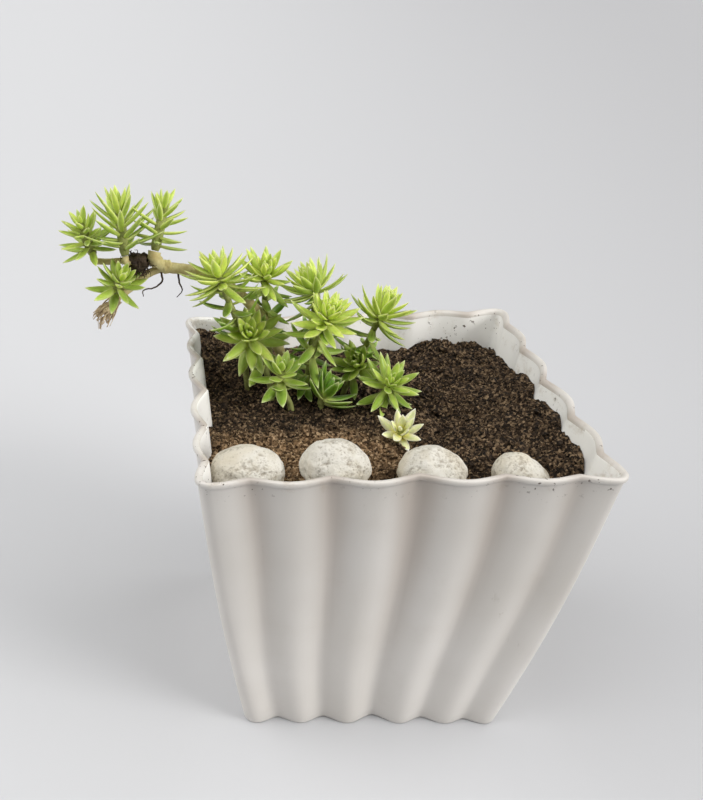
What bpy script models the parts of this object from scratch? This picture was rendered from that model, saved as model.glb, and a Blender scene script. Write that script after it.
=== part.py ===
"""A potted sedum: a square fluted pot filled with soil, four pale stones along its front rim,
a clump of leafy shoots and one long bare stem that reaches out over the left rim.

The origin is the centre of the pot's underside, +Z is up and the front wall faces -Y.
"""

import math
import random

import bmesh
import bpy
import numpy as np
from mathutils import Matrix, Vector

MM = 0.001
GAP = 0.3 * MM

# Pot
RIM_SIDE = 140 * MM
BASE_SIDE = 98 * MM
POT_HEIGHT = 123 * MM
WALL = 1.8 * MM
WALL_BOW = 1.5 * MM
CORNER_RADIUS = 4.5 * MM
FLUTE_DEPTH_BASE = 4.0 * MM
FLUTE_DEPTH_RIM = 3.7 * MM
FLUTE_SWAY = 1.0 * MM
RIDGE_PLACES = (0.0, 0.19, 0.395, 0.625, 0.825, 1.0)
RIDGE_STEP = 0.21
VALLEY_SHARPNESS = 0.8
POINTS_PER_FLUTE = 5
CORNER_POINTS = 2
LIP_REACH = 0.8 * MM
LIP_HEIGHT = 2.4 * MM
BASE_SKEW = 0.06
BASE_FORWARD = 1.6 * MM
RIM_WIDER = 1.4 * MM
RIM_SKEW = 2.6 * MM
RIM_LIFT = 1.6 * MM
DRAIN_RADIUS = 3.5 * MM
DRAIN_CIRCLE = 24 * MM

# Soil
SOIL_LEVEL = 107 * MM
SOIL_INSET = 2.5 * MM
SOIL_SPAN = 72 * MM
SOIL_CELLS = 21
HOLE_SIDES = 8
STEM_DEPTH = 12 * MM

# Stones: centre across, width, depth, height of the middle, seed, and how much lower the right side is
STONE_Y = -49 * MM
STONES = {
    "stone_1": (-51.9 * MM, 26.5 * MM, 19 * MM, 113.4 * MM, 3, 0.0),
    "stone_2": (-22.5 * MM, 24.7 * MM, 21 * MM, 115.1 * MM, 8, 0.12),
    "stone_3": (11.7 * MM, 25.2 * MM, 20 * MM, 112.0 * MM, 15, 0.1),
    "stone_4": (43.3 * MM, 21.2 * MM, 17 * MM, 109.5 * MM, 22, 0.42),
}
STONE_HEIGHT = 19 * MM
STONE_SIDES = 12
STONE_RINGS = 8

# Leaves
GOLDEN_ANGLE = 137.5
LEAF_SINK = 0.6 * MM
LEAF_THICK = 1.8 * MM
LEAF_TIP_THICK = 0.8 * MM
UPPER_SHARE = 0.3
LEAF_CURL = 14.0
LEAF_STATIONS = (0.0, 0.5)
BLADE_CLEAR = 2.1 * MM
SOIL_CLEAR = 1.2 * MM
SIDE_STEP = 3.2 * MM
CORE_FOOT = 2.4 * MM

# Stems
SHOOT_STEM = 1.2 * MM
CORE_RADII = (1.3 * MM, 1.9 * MM, 1.9 * MM, 0.9 * MM)
ROOT = 0.45 * MM

# Every shoot: where its leafy part starts (mm), how far its axis leans and which way, the turn of
# its first leaf, leaf count, leaf length and width (mm), how far up the axis the leaves climb (mm),
# the rise of its lowest and its highest leaves, its seed, and the leaves further down its stem.
SHOOTS = {
    "shoot_middle": dict(at=(-19.3, 14.0, 141.0), lean=23, to=-58, turn=231, leaves=20, long=14.2,
                         wide=3.9, climb=4.8, low=2, high=62, seed=5, below=5),
    "shoot_front_left": dict(at=(-46.2, 24.0, 130.0), lean=41, to=-100, turn=236, leaves=20, long=14.9,
                             wide=4.7, climb=3.5, low=-22, high=62, seed=4, below=0),
    "shoot_front_low": dict(at=(-35.4, 10.0, 118.5), lean=12, to=-85, turn=219, leaves=19, long=12.8,
                            wide=4.1, climb=5.0, low=-26, high=62, seed=2, below=0),
    "shoot_front_dark": dict(at=(-18.4, 10.0, 111.0), lean=24, to=15, turn=308, leaves=14, long=14.2,
                             wide=4.3, climb=2.4, low=19, high=81, seed=1, below=0),
    "shoot_front_right": dict(at=(7.0, 10.0, 116.0), lean=32, to=-72, turn=262, leaves=20, long=14.0,
                              wide=3.4, climb=3.0, low=-6, high=61, seed=7, below=2),
    "shoot_back_right": dict(at=(3.6, 24.0, 138.5), lean=23, to=9, turn=313, leaves=20, long=14.8,
                             wide=3.6, climb=4.8, low=-4, high=85, seed=3, below=4),
    "shoot_back_left": dict(at=(-58.5, 18.0, 155.0), lean=19, to=137, turn=27, leaves=22, long=15.9,
                            wide=4.0, climb=4.6, low=-24, high=64, seed=3, below=0),
    "shoot_back_middle": dict(at=(-21.0, 30.0, 147.5), lean=26, to=160, turn=221, leaves=19, long=15.9,
                              wide=3.6, climb=2.1, low=11, high=80, seed=3, below=3),
    "shoot_back_small": dict(at=(-41.0, 30.0, 152.5), lean=28, to=-90, turn=287, leaves=17, long=13.3,
                             wide=3.4, climb=4.5, low=17, high=78, seed=7, below=0),
    "shoot_inner": dict(at=(-2.4, 24.0, 118.5), lean=38, to=-127, turn=305, leaves=17, long=12.1,
                        wide=3.9, climb=2.3, low=12, high=62, seed=7, below=0),
    "shoot_pale": dict(at=(7.5, -14.0, 108.5), lean=34, to=-98, turn=358, leaves=17, long=10.5,
                       wide=3.7, climb=3.0, low=26, high=70, seed=2, below=0),
    "shoot_far_left": dict(at=(-106.6, 28.0, 164.3), lean=24, to=-128, turn=152, leaves=18, long=10.6,
                           wide=3.3, climb=11.6, low=10, high=60, seed=6, below=0),
    "shoot_far_tall": dict(at=(-94.3, 22.0, 167.2), lean=15, to=121, turn=290, leaves=20, long=15.6,
                           wide=3.3, climb=14.6, low=23, high=76, seed=2, below=0),
    "shoot_far_right": dict(at=(-82.6, 24.0, 168.5), lean=22, to=55, turn=349, leaves=19, long=10.7,
                            wide=3.4, climb=13.9, low=-1, high=60, seed=8, below=0),
    "shoot_far_low": dict(at=(-97.3, 20.0, 151.8), lean=26, to=-40, turn=133, leaves=18, long=10.6,
                          wide=3.5, climb=4.9, low=-24, high=60, seed=3, below=0),
}

# Where each stem of the clump enters the soil, in mm, with the points that it passes on its way up.
STEM_ROUTES = {
    "shoot_middle": [(-24, 23), (-22.5, 17, 128)],
    "shoot_front_left": [(-37, 19), (-41, 22.5, 121)],
    "shoot_front_low": [(-30.5, 10), (-33.5, 9.5, 114)],
    "shoot_front_dark": [(-18.9, 10)],
    "shoot_front_right": [(3, 15)],
    "shoot_back_right": [(-3, 33), (0.5, 28.5, 125)],
    "shoot_back_left": [(-46, 31), (-51, 24.5, 135)],
    "shoot_back_middle": [(-21, 35), (-20.5, 34, 130)],
    "shoot_back_small": [(-35, 43), (-39.5, 37.5, 135)],
    "shoot_inner": [(-8, 23)],
    "shoot_pale": [(7.5, -12)],
}

# The long stem and its twigs, in mm. Each ends under the leafy shoot that it carries.
TWIGS = {
    "shoot_far_right": ([(-30, 31.5, 96), (-30, 31.5, 108), (-34.5, 31.5, 124), (-44, 30, 140),
                         (-56, 28, 151.5), (-68, 26.5, 157.2), (-79, 25.5, 159.3)], 2.1 * MM),
    "shoot_far_low": ([(-79, 25.5, 159.3), (-86, 26, 156), (-93, 24.5, 150.5)], 1.5 * MM),
    "shoot_far_tall": ([(-82.5, 24.6, 162), (-88, 24, 162.2)], 1.2 * MM),
    "shoot_far_left": ([(-88, 24, 162.2), (-94.5, 26.8, 161), (-100.5, 29.5, 159.5)], 1.2 * MM),
}
TWIG_END = 2.5 * MM
KNOT_SHARE = 1.14
KNOBS = [(-83, 24, 162.3, 2.7), (-79, 25.4, 159.4, 2.6)]
HANGING_ROOTS = [
    [(-81, 25, 158), (-80.5, 22.5, 154.5), (-83.5, 21.5, 152.3), (-87.5, 21, 151.5), (-87.5, 21, 149)],
    [(-74.5, 25.8, 157.5), (-74, 24, 153.5), (-73, 23.5, 150.5), (-75, 23, 148)],
]

# The pale roots under the lowest far shoot: points (mm) and radius (mm)
PALE_ROOTS = [
    ([(-97.8, 21.8, 147.3), (-99.6, 20.8, 144.5), (-101.5, 20, 141.5)], 2.4),
    ([(-98.5, 20.5, 146.2), (-102.5, 19.2, 144.5), (-104.6, 18.8, 141.5)], 1.4),
    ([(-101.3, 20, 142), (-103.5, 19.5, 139.5), (-103.8, 19.3, 136.5)], 0.6),
    ([(-99, 20.5, 144), (-100.2, 21, 140.5), (-100.8, 21.2, 138)], 0.6),
]

# The dark roots round the twig: one lump and thin roots (mm)
DARK_LUMP = ((-89.2, 23.8, 161.6), (4.6, 4.2, 3.8))
DARK_ROOTS = [
    [(-89.5, 21.8, 160), (-90.5, 20.8, 157.6), (-89.6, 20.6, 155.6)],
    [(-92, 22.5, 160.2), (-94.3, 22.6, 158), (-95.3, 23.4, 156.2)],
]


def unit(vector):
    """The vector at length 1."""
    return vector / np.linalg.norm(vector)


def mm(point):
    """A point given in millimetres, in metres."""
    return np.array(point, float) * MM


def clear_scene():
    for item in list(bpy.data.objects):
        bpy.data.objects.remove(item, do_unlink=True)
    for group in list(bpy.data.collections):
        bpy.data.collections.remove(group)


def new_collection(name):
    group = bpy.data.collections.new(name)
    bpy.context.scene.collection.children.link(group)
    return group


def new_object(name, mesh, group):
    item = bpy.data.objects.new(name, mesh)
    group.objects.link(item)
    return item


def mesh_of(name, shape):
    """The bmesh as a mesh, its faces pointing out."""
    bmesh.ops.recalc_face_normals(shape, faces=shape.faces)
    mesh = bpy.data.meshes.new(name)
    shape.to_mesh(mesh)
    shape.free()
    return mesh


def material(name, colour, roughness):
    finish = bpy.data.materials.new(name)
    finish.use_nodes = True
    shader = finish.node_tree.nodes["Principled BSDF"]
    shader.inputs["Base Color"].default_value = (*colour, 1.0)
    shader.inputs["Roughness"].default_value = roughness
    return finish


def loft(rings, close_start=True, close_end=True, tip=None):
    """A skin over rings of equally many points, with flat ends or a pointed tip."""
    shape = bmesh.new()
    rows = [[shape.verts.new(Vector(point)) for point in ring] for ring in rings]
    count = len(rows[0])
    for low, high in zip(rows, rows[1:]):
        for i in range(count):
            j = (i + 1) % count
            shape.faces.new((low[i], low[j], high[j], high[i]))
    if close_start:
        shape.faces.new(rows[0][::-1])
    if tip is not None:
        point = shape.verts.new(Vector(tip))
        for i in range(count):
            shape.faces.new((rows[-1][i], rows[-1][(i + 1) % count], point))
    elif close_end:
        shape.faces.new(rows[-1])
    return shape


def smooth_route(points, steps):
    """Points along a smooth curve that passes through the given ones."""
    ends = [2 * points[0] - points[1], *points, 2 * points[-1] - points[-2]]
    route = []
    for a, b, c, d in zip(ends, ends[1:], ends[2:], ends[3:]):
        for step in range(steps):
            t = step / steps
            route.append(0.5 * (2 * b + (c - a) * t + (2 * a - 5 * b + 4 * c - d) * t**2
                                + (3 * b - a - 3 * c + d) * t**3))
    route.append(points[-1])
    return route


def tube(name, route, radii, group, roundness=1):
    """A round stem or root along a route, as a closed mesh."""
    curve = bpy.data.curves.new(name, "CURVE")
    curve.dimensions = "3D"
    curve.bevel_depth = 1.0
    curve.bevel_resolution = roundness
    curve.use_fill_caps = True
    line = curve.splines.new("POLY")
    line.points.add(len(route) - 1)
    for point, place, radius in zip(line.points, route, radii):
        point.co = (*place, 1.0)
        point.radius = radius
    guide = new_object(name + "_curve", curve, group)
    bpy.context.view_layer.update()
    ready = guide.evaluated_get(bpy.context.evaluated_depsgraph_get())
    mesh = bpy.data.meshes.new_from_object(ready)
    place = guide.matrix_world.copy()
    bpy.data.objects.remove(guide, do_unlink=True)
    shape = bmesh.new()
    shape.from_mesh(mesh)
    bmesh.ops.remove_doubles(shape, verts=shape.verts, dist=0.01 * MM)
    item = new_object(name, mesh_of(name, shape), group)
    item.matrix_world = place
    return item


def largest_body(shape):
    """Leaves only the body with the largest box: sealed hollows and loose scraps go."""
    left = set(shape.verts)
    bodies = []
    while left:
        body = {left.pop()}
        front = list(body)
        while front:
            for edge in front.pop().link_edges:
                for vert in edge.verts:
                    if vert in left:
                        left.remove(vert)
                        body.add(vert)
                        front.append(vert)
        bodies.append(body)
    reach = [np.ptp(np.array([v.co for v in body]), axis=0).prod() for body in bodies]
    keep = bodies[int(np.argmax(reach))]
    bmesh.ops.delete(shape, geom=[v for v in shape.verts if v not in keep], context="VERTS")


def boolean(item, others, operation):
    """Joins the other objects to this one, or cuts them from it, and removes them."""
    tools = bpy.data.collections.new(item.name + "_tools")
    for other in others:
        for group in list(other.users_collection):
            group.objects.unlink(other)
        tools.objects.link(other)
    change = item.modifiers.new(operation, "BOOLEAN")
    change.operation = operation
    change.operand_type = "COLLECTION"
    change.collection = tools
    change.solver = "EXACT"
    change.use_self = operation == "UNION"
    bpy.context.view_layer.update()
    ready = item.evaluated_get(bpy.context.evaluated_depsgraph_get())
    mesh = bpy.data.meshes.new_from_object(ready)
    item.modifiers.clear()
    for other in list(tools.objects):
        bpy.data.objects.remove(other, do_unlink=True)
    bpy.data.collections.remove(tools)
    shape = bmesh.new()
    shape.from_mesh(mesh)
    largest_body(shape)
    item.data = mesh_of(item.name, shape)
    return item


def half_side(height):
    """Half the pot's side at a height: tapered, and bowed a little outwards."""
    t = height / POT_HEIGHT
    return 0.5 * (BASE_SIDE + (RIM_SIDE - BASE_SIDE) * t) + WALL_BOW * math.sin(math.pi * t)


def flute(share, height, half):
    """How far the wall stands in from its round ridges, at a share of the way along a side."""
    here = share + FLUTE_SWAY * math.sin(2 * math.pi * height / POT_HEIGHT) / (2 * half)
    phase = np.interp(here, RIDGE_PLACES, range(len(RIDGE_PLACES)))
    number = min(int(phase), len(RIDGE_PLACES) - 2)
    step = (RIDGE_PLACES[number + 1] - RIDGE_PLACES[number]) / RIDGE_STEP
    depth = FLUTE_DEPTH_BASE + (FLUTE_DEPTH_RIM - FLUTE_DEPTH_BASE) * height / POT_HEIGHT
    soft = 0.5 - 0.5 * math.cos(2 * math.pi * phase)
    sharp = 1 - abs(math.cos(math.pi * phase))
    return depth * step**2 * (soft + (sharp - soft) * VALLEY_SHARPNESS)


def warped(x, y, height):
    """A point of the pot moved as its plastic has warped: the base skewed, the rim's back lifted at the right."""
    t = height / POT_HEIGHT
    across = 2 * x / RIM_SIDE
    back = 0.5 + y / RIM_SIDE
    moved_x = x + t * RIM_WIDER * (0.5 + 0.5 * across) ** 2
    moved_y = y - (1 - t) * (BASE_SKEW * x + BASE_FORWARD) + t * RIM_SKEW * across * back
    return Vector((moved_x, moved_y, height + RIM_LIFT * t**4 * across * back))


def side_shares():
    shares = []
    for start, end in zip(RIDGE_PLACES, RIDGE_PLACES[1:]):
        shares += [start + (end - start) * k / POINTS_PER_FLUTE for k in range(POINTS_PER_FLUTE)]
    return shares + [1.0]


def pot_ring(height, inset=0.0):
    """The pot's fluted outline at a height, moved in by an inset."""
    half = half_side(height)
    straight = half - CORNER_RADIUS
    ring = []
    for turn in range(4):
        side = []
        for share in side_shares():
            depth = flute(share, height, half) + inset
            side.append((straight * (2 * share - 1), depth - half))
        for step in range(1, CORNER_POINTS + 1):
            angle = math.radians(90 * step / (CORNER_POINTS + 1) - 90)
            radius = CORNER_RADIUS - inset
            side.append((straight + radius * math.cos(angle), radius * math.sin(angle) - straight))
        quarter = Matrix.Rotation(math.radians(90 * turn), 3, "Z")
        ring += [warped(*(quarter @ Vector((x, y, height)))) for x, y in side]
    return ring


def make_pot(group):
    under_lip = POT_HEIGHT - LIP_HEIGHT
    levels = [(0, 0.8 * MM), (1.4 * MM, 0), (POT_HEIGHT / 2, 0), (under_lip - 0.7 * MM, 0),
              (under_lip, -LIP_REACH), (POT_HEIGHT, -LIP_REACH)]
    shape = loft([pot_ring(*level) for level in levels], close_end=False)
    pot = new_object("pot", mesh_of("pot", shape), group)
    wall = pot.modifiers.new("wall", "SOLIDIFY")
    wall.thickness = WALL
    wall.offset = -1
    wall.use_even_offset = True
    drains = []
    for turn in range(4):
        angle = math.radians(45 + 90 * turn)
        hole = bmesh.new()
        bmesh.ops.create_cone(hole, cap_ends=True, segments=12, radius1=DRAIN_RADIUS,
                              radius2=DRAIN_RADIUS, depth=4 * WALL)
        cutter = new_object("drain", mesh_of("drain", hole), group)
        cutter.location = (DRAIN_CIRCLE * math.cos(angle), DRAIN_CIRCLE * math.sin(angle), WALL / 2)
        drains.append(cutter)
    boolean(pot, drains, "DIFFERENCE")
    return pot


def bump(x, y, centre, radius, height):
    """A round rise or dip in the soil."""
    away = ((x - centre[0] * MM) ** 2 + (y - centre[1] * MM) ** 2) / (radius * MM) ** 2
    return height * MM * math.exp(-away)


def soil_height(x, y):
    """The uneven top of the soil: heaped up to the right and in the back corners, hollow at the left."""
    swell = 0.8 * MM * math.sin(x / (9 * MM) + 1.0) * math.cos(y / (7.5 * MM))
    ripple = 0.6 * MM * math.sin(x / (3.1 * MM) + y / (4.3 * MM))
    crumb = 0.4 * MM * math.sin(x / (2.2 * MM) - y / (2.0 * MM) + 2.0)
    places = (bump(x, y, (-66, 66), 26, 9.8) + bump(x, y, (46, 58), 18, 5.0)
              + bump(x, y, (66, -20), 26, 10.0) + bump(x, y, (66, 20), 18, 8.0)
              + bump(x, y, (64, -50), 16, 2.0)
              + bump(x, y, (-54, 26), 13, -2.5) + bump(x, y, (-64, -25), 16, 4.0)
              + bump(x, y, (-15, -27), 16, 1.5) + bump(x, y, (25, 5), 18, -1.5)
              + bump(x, y, (7.5, -13), 8, -1.5))
    return SOIL_LEVEL + swell + ripple + crumb + places


def ground_cutter(group):
    """Everything above the uneven ground."""
    ground = bmesh.new()
    bmesh.ops.create_grid(ground, x_segments=SOIL_CELLS, y_segments=SOIL_CELLS, size=SOIL_SPAN)
    for vert in ground.verts:
        vert.co.z = soil_height(vert.co.x, vert.co.y)
    lifted = bmesh.ops.extrude_face_region(ground, geom=ground.faces[:])
    for part in lifted["geom"]:
        if isinstance(part, bmesh.types.BMVert):
            part.co.z = POT_HEIGHT + 10 * MM
    return new_object("air", mesh_of("air", ground), group)


def hole_cutter(foot, radius, group):
    """A plain upright hole in the soil for a stem."""
    shape = bmesh.new()
    bmesh.ops.create_cone(shape, cap_ends=True, segments=HOLE_SIDES, radius1=radius, radius2=radius,
                          depth=2 * (STEM_DEPTH + GAP))
    x, y = mm(foot)
    for vert in shape.verts:
        vert.co += Vector((x, y, soil_height(x, y)))
    return new_object("hole", mesh_of("hole", shape), group)


def make_soil(group):
    """A block shaped like the pot's inside, less the air above it, stem holes and stone beds."""
    floor = WALL + GAP
    block = loft([pot_ring(height, SOIL_INSET) for height in (floor, POT_HEIGHT)])
    soil = new_object("soil", mesh_of("soil", block), group)
    cutters = [ground_cutter(group)]
    for foot, *passed in STEM_ROUTES.values():
        cutters.append(hole_cutter(foot, SHOOT_STEM + 2 * GAP, group))
    passed, radius = TWIGS["shoot_far_right"]
    cutters.append(hole_cutter(passed[0][:2], radius * KNOT_SHARE + 2 * GAP, group))
    for spec in STONES.values():
        cutters.append(new_object("bed", mesh_of("bed", stone_shape(spec, 1.3 * GAP)), group))
    return boolean(soil, cutters, "DIFFERENCE")


def stone_shape(spec, swell=0.0):
    """A rounded, slightly lumpy stone, larger by swell for its bed in the soil."""
    x, wide, deep, height, seed, slope = spec
    shape = bmesh.new()
    bmesh.ops.create_uvsphere(shape, u_segments=STONE_SIDES, v_segments=STONE_RINGS, radius=1.0)
    for vert in shape.verts:
        p = vert.co
        lump = 1 + 0.05 * math.sin(2.3 * p.x + seed) + 0.045 * math.cos(3.1 * p.y - seed + 1.7 * p.z)
        flat = 1 if p.z > 0 else 0.85
        vert.co = Vector((p.x * lump * (wide / 2 + swell), p.y * lump * (deep / 2 + swell),
                          p.z * flat * (1 - slope * p.x) * (STONE_HEIGHT / 2 + swell)))
    for vert in shape.verts:
        vert.co += Vector((x, STONE_Y, height))
    return shape


def shoot_axes(spec):
    """The shoot's own directions: two across and one along its axis."""
    lean = math.radians(spec["lean"])
    to = math.radians(spec["to"])
    along = np.array([math.sin(lean) * math.cos(to), math.sin(lean) * math.sin(to), math.cos(lean)])
    across = unit(np.cross([0.0, 1.0, 0.0], along))
    return across, np.cross(along, across), along


def blade_width(t):
    """A leaf's width at a share of its length, against its widest."""
    return (0.55 + 1.9 * t) * (1 - t) ** 0.62 / 0.98


def leaf_plan(spec):
    """Every leaf of a shoot: its start on the axis, turn, rise, length and roll."""
    draw = random.Random(spec["seed"])
    across, beside, along = shoot_axes(spec)
    start = mm(spec["at"])
    plans = []
    for i in range(spec["leaves"] + spec["below"]):
        inner = max(0.0, i / (spec["leaves"] - 1)) if i < spec["leaves"] else 0.0
        turn = spec["turn"] + i * GOLDEN_ANGLE + draw.uniform(-11, 11)
        rise = spec["low"] + (spec["high"] - spec["low"]) * inner**1.3 + draw.uniform(-9, 9)
        length = spec["long"] * MM * (1 - 0.4 * inner**2) * (1 + draw.uniform(-0.12, 0.12))
        roll = 14 * draw.uniform(-1, 1)
        climb = spec["climb"] * MM * inner
        if i >= spec["leaves"]:
            climb = -SIDE_STEP * (i - spec["leaves"] + 1)
            rise = draw.uniform(5, 35)
            length *= 0.85
        plans.append(dict(start=start + along * climb, turn=turn, rise=rise, length=length,
                          roll=roll, inner=inner))
    return plans


def leaf_frame(spec, plan, t):
    """The leaf's midline point, its side direction and its upper face's direction at t."""
    across, beside, along = shoot_axes(spec)
    turn = math.radians(plan["turn"])
    out = math.cos(turn) * across + math.sin(turn) * beside
    curl = LEAF_CURL * (1 - 1.4 * plan["inner"])
    mean = math.radians(plan["rise"] + curl * (t / 2 - 0.4))
    here = math.radians(plan["rise"] + curl * (t - 0.4))
    point = (plan["start"] + out * LEAF_SINK
             + plan["length"] * t * (math.cos(mean) * out + math.sin(mean) * along))
    side = np.cross(along, out)
    up = math.cos(here) * along - math.sin(here) * out
    roll = math.radians(plan["roll"])
    return point, math.cos(roll) * side + math.sin(roll) * up, math.cos(roll) * up - math.sin(roll) * side


def leaf_ring(spec, plan, t):
    """The leaf's three-sided cross-section: flat above, with a keel below."""
    point, side, up = leaf_frame(spec, plan, t)
    half = 0.5 * spec["wide"] * MM * blade_width(t) * (1 - 0.25 * plan["inner"])
    thick = LEAF_THICK + (LEAF_TIP_THICK - LEAF_THICK) * t
    face = point + up * thick * UPPER_SHARE
    return [face - side * half, point - up * thick * (1 - UPPER_SHARE), face + side * half]


def leaf_samples(spec, plan):
    """Points over the leaf's blade, for keeping it clear of other pieces."""
    points = []
    for t in np.linspace(0.12, 1.0, 10):
        point, side, up = leaf_frame(spec, plan, t)
        half = 0.5 * spec["wide"] * MM * blade_width(min(t, 0.97))
        points += [point - side * half, point, point + side * half]
    return np.array(points)


def ground_is_clear(points):
    """Whether points stay above the soil and outside the stones and the pot's wall."""
    for x, y, z in points:
        if z < POT_HEIGHT + 3 * MM and max(abs(x), abs(y)) < half_side(POT_HEIGHT) + 3 * MM:
            if max(abs(x), abs(y)) > half_side(max(z, 0)) - FLUTE_DEPTH_RIM - WALL - 1.5 * MM:
                return False
            if z < soil_height(x, y) + SOIL_CLEAR:
                return False
        for stone_x, wide, deep, height, seed, slope in STONES.values():
            away = (((x - stone_x) / (wide / 2)) ** 2 + ((y - STONE_Y) / (deep / 2)) ** 2
                    + ((z - height) / (STONE_HEIGHT / 2)) ** 2)
            if away < 1.35:
                return False
    return True


def is_clear(points, owner, taken):
    """Whether points keep their distance from every other shoot's pieces."""
    for other, places, reach in taken:
        if other == owner:
            continue
        gaps = np.linalg.norm(points[:, None] - places[None], axis=2)
        if (gaps < reach).any():
            return False
    return ground_is_clear(points)


def bent_clear(name, spec, plan, taken):
    """The leaf turned, raised or shortened by the least that keeps it clear, or None."""
    for length in (1.0, 0.85, 0.7):
        for rise, turn in ((0, 0), (8, 0), (-8, 0), (0, 12), (0, -12), (16, 0), (10, 14), (10, -14),
                           (-14, 0), (24, 0), (0, 24), (0, -24), (20, 20), (20, -20), (34, 0)):
            tried = dict(plan, rise=plan["rise"] + rise, turn=plan["turn"] + turn,
                         length=plan["length"] * length)
            points = leaf_samples(spec, tried)
            if is_clear(points, name, taken):
                return tried, points
    return None


def stem_route(name, spec):
    """A shoot's stem, from under the soil to its leafy part."""
    along = shoot_axes(spec)[2]
    start = mm(spec["at"])
    if name not in STEM_ROUTES:
        return [start, start + along * MM]
    foot, *passed = STEM_ROUTES[name]
    x, y = mm(foot)
    ground = soil_height(x, y)
    points = [np.array([x, y, ground - STEM_DEPTH]), np.array([x, y, ground])]
    points += [mm(point) for point in passed] + [start]
    return smooth_route(points, 2)


def core_route(spec):
    """The leafy part's own short axis."""
    along = shoot_axes(spec)[2]
    start = mm(spec["at"])
    top = spec["climb"] * MM + 1.6 * MM
    return [start - along * CORE_FOOT, start, start + along * top * 0.5, start + along * top]


def twig_route(name, steps):
    """A twig's points, ending flat under the shoot that it carries."""
    along = shoot_axes(SHOOTS[name])[2]
    end = mm(SHOOTS[name]["at"]) - along * (CORE_FOOT + GAP)
    return smooth_route([mm(p) for p in TWIGS[name][0]] + [end - along * TWIG_END], steps) + [end]


def place_leaves():
    """All leaves of all shoots, each clear of the other shoots, the stems and the ground."""
    taken = []
    for name, (passed, radius) in TWIGS.items():
        taken.append(("long_stem", np.array(twig_route(name, 5)), radius + BLADE_CLEAR * 0.6))
    for root in HANGING_ROOTS + DARK_ROOTS + [root for root, radius in PALE_ROOTS]:
        taken.append(("long_stem", np.array(smooth_route([mm(p) for p in root], 4)),
                      1.6 * MM + BLADE_CLEAR * 0.5))
    taken.append(("dark_roots", mm(DARK_LUMP[0])[None], 5.5 * MM))
    for name, spec in SHOOTS.items():
        stem = smooth_route([np.array(p) for p in stem_route(name, spec)], 4)
        taken.append((name, np.array(stem), SHOOT_STEM + BLADE_CLEAR * 0.65))
        core = smooth_route(core_route(spec), 4)
        taken.append((name, np.array(core), 1.8 * MM + BLADE_CLEAR * 0.6))
    leaves = {}
    for name, spec in SHOOTS.items():
        leaves[name] = []
        for plan in leaf_plan(spec):
            found = bent_clear(name, spec, plan, taken)
            if found:
                leaves[name].append(found[0])
                taken.append((name, found[1], BLADE_CLEAR))
    return leaves


def make_shoot(name, spec, leaves, group):
    """One leafy shoot: its stem, its core and its leaves, joined in one body."""
    core = core_route(spec)
    body = tube(name, core, CORE_RADII, group)
    pieces = []
    if name in STEM_ROUTES:
        route = stem_route(name, spec)
        route.append(core[2])
        pieces.append(tube(name + "_stem", route, [SHOOT_STEM] * len(route), group))
    for number, plan in enumerate(leaves):
        rings = [leaf_ring(spec, plan, t) for t in LEAF_STATIONS]
        tip = leaf_frame(spec, plan, 1.0)[0]
        leaf_name = f"{name}_leaf_{number}"
        pieces.append(new_object(leaf_name, mesh_of(leaf_name, loft(rings, tip=tip)), group))
    return boolean(body, pieces, "UNION")


def lump(name, centre, sizes, group):
    """A knob or a clot of roots: a ball of few faces, stretched to its sizes."""
    shape = bmesh.new()
    bmesh.ops.create_icosphere(shape, subdivisions=2, radius=1.0)
    for vert in shape.verts:
        vert.co = Vector([c + v * r for c, v, r in zip(centre, vert.co, sizes)])
    return new_object(name, mesh_of(name, shape), group)


def root_tubes(name, roots, group):
    """Tapering roots, each a list of points and a radius in mm."""
    made = []
    for number, (root, radius) in enumerate(roots):
        path = smooth_route([mm(p) for p in root], 2)
        radii = [radius * MM * (1 - 0.45 * k / (len(path) - 1)) for k in range(len(path))]
        made.append(tube(f"{name}_{number}", path, radii, group, roundness=1 if radius > 1 else 0))
    return made


def branches(group, swell=0.0):
    """The long stem first, then its twigs and knobs, all thicker by swell."""
    pieces = []
    for name, (passed, radius) in TWIGS.items():
        path = twig_route(name, 2)
        radii = [radius + swell] * len(path)
        if name == "shoot_far_right":
            radii = [radius * (KNOT_SHARE if n % 3 == 1 else 1) + swell for n in range(len(path))]
            radii[-1] = 1.6 * MM + swell
        pieces.append(tube(name + "_twig", path, radii, group))
    for x, y, z, radius in KNOBS:
        pieces.append(lump("knob", mm((x, y, z)), [radius * MM + swell] * 3, group))
    return pieces


def make_long_stem(group):
    """The bare trailing stem with its knobs, twigs, hanging roots and pale root clump."""
    stem, *pieces = branches(group)
    stem.name = "long_stem"
    pieces += root_tubes("root", [(root, ROOT / MM) for root in HANGING_ROOTS] + PALE_ROOTS, group)
    return boolean(stem, pieces, "UNION")


def make_dark_roots(group):
    """The clot of dark roots that has grown round a twig, with the twig's own way through it."""
    centre, sizes = DARK_LUMP
    clot = lump("dark_roots", mm(centre), mm(sizes), group)
    boolean(clot, root_tubes("dark_root", [(root, 0.6) for root in DARK_ROOTS], group), "UNION")
    return boolean(clot, branches(group, GAP), "DIFFERENCE")


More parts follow.
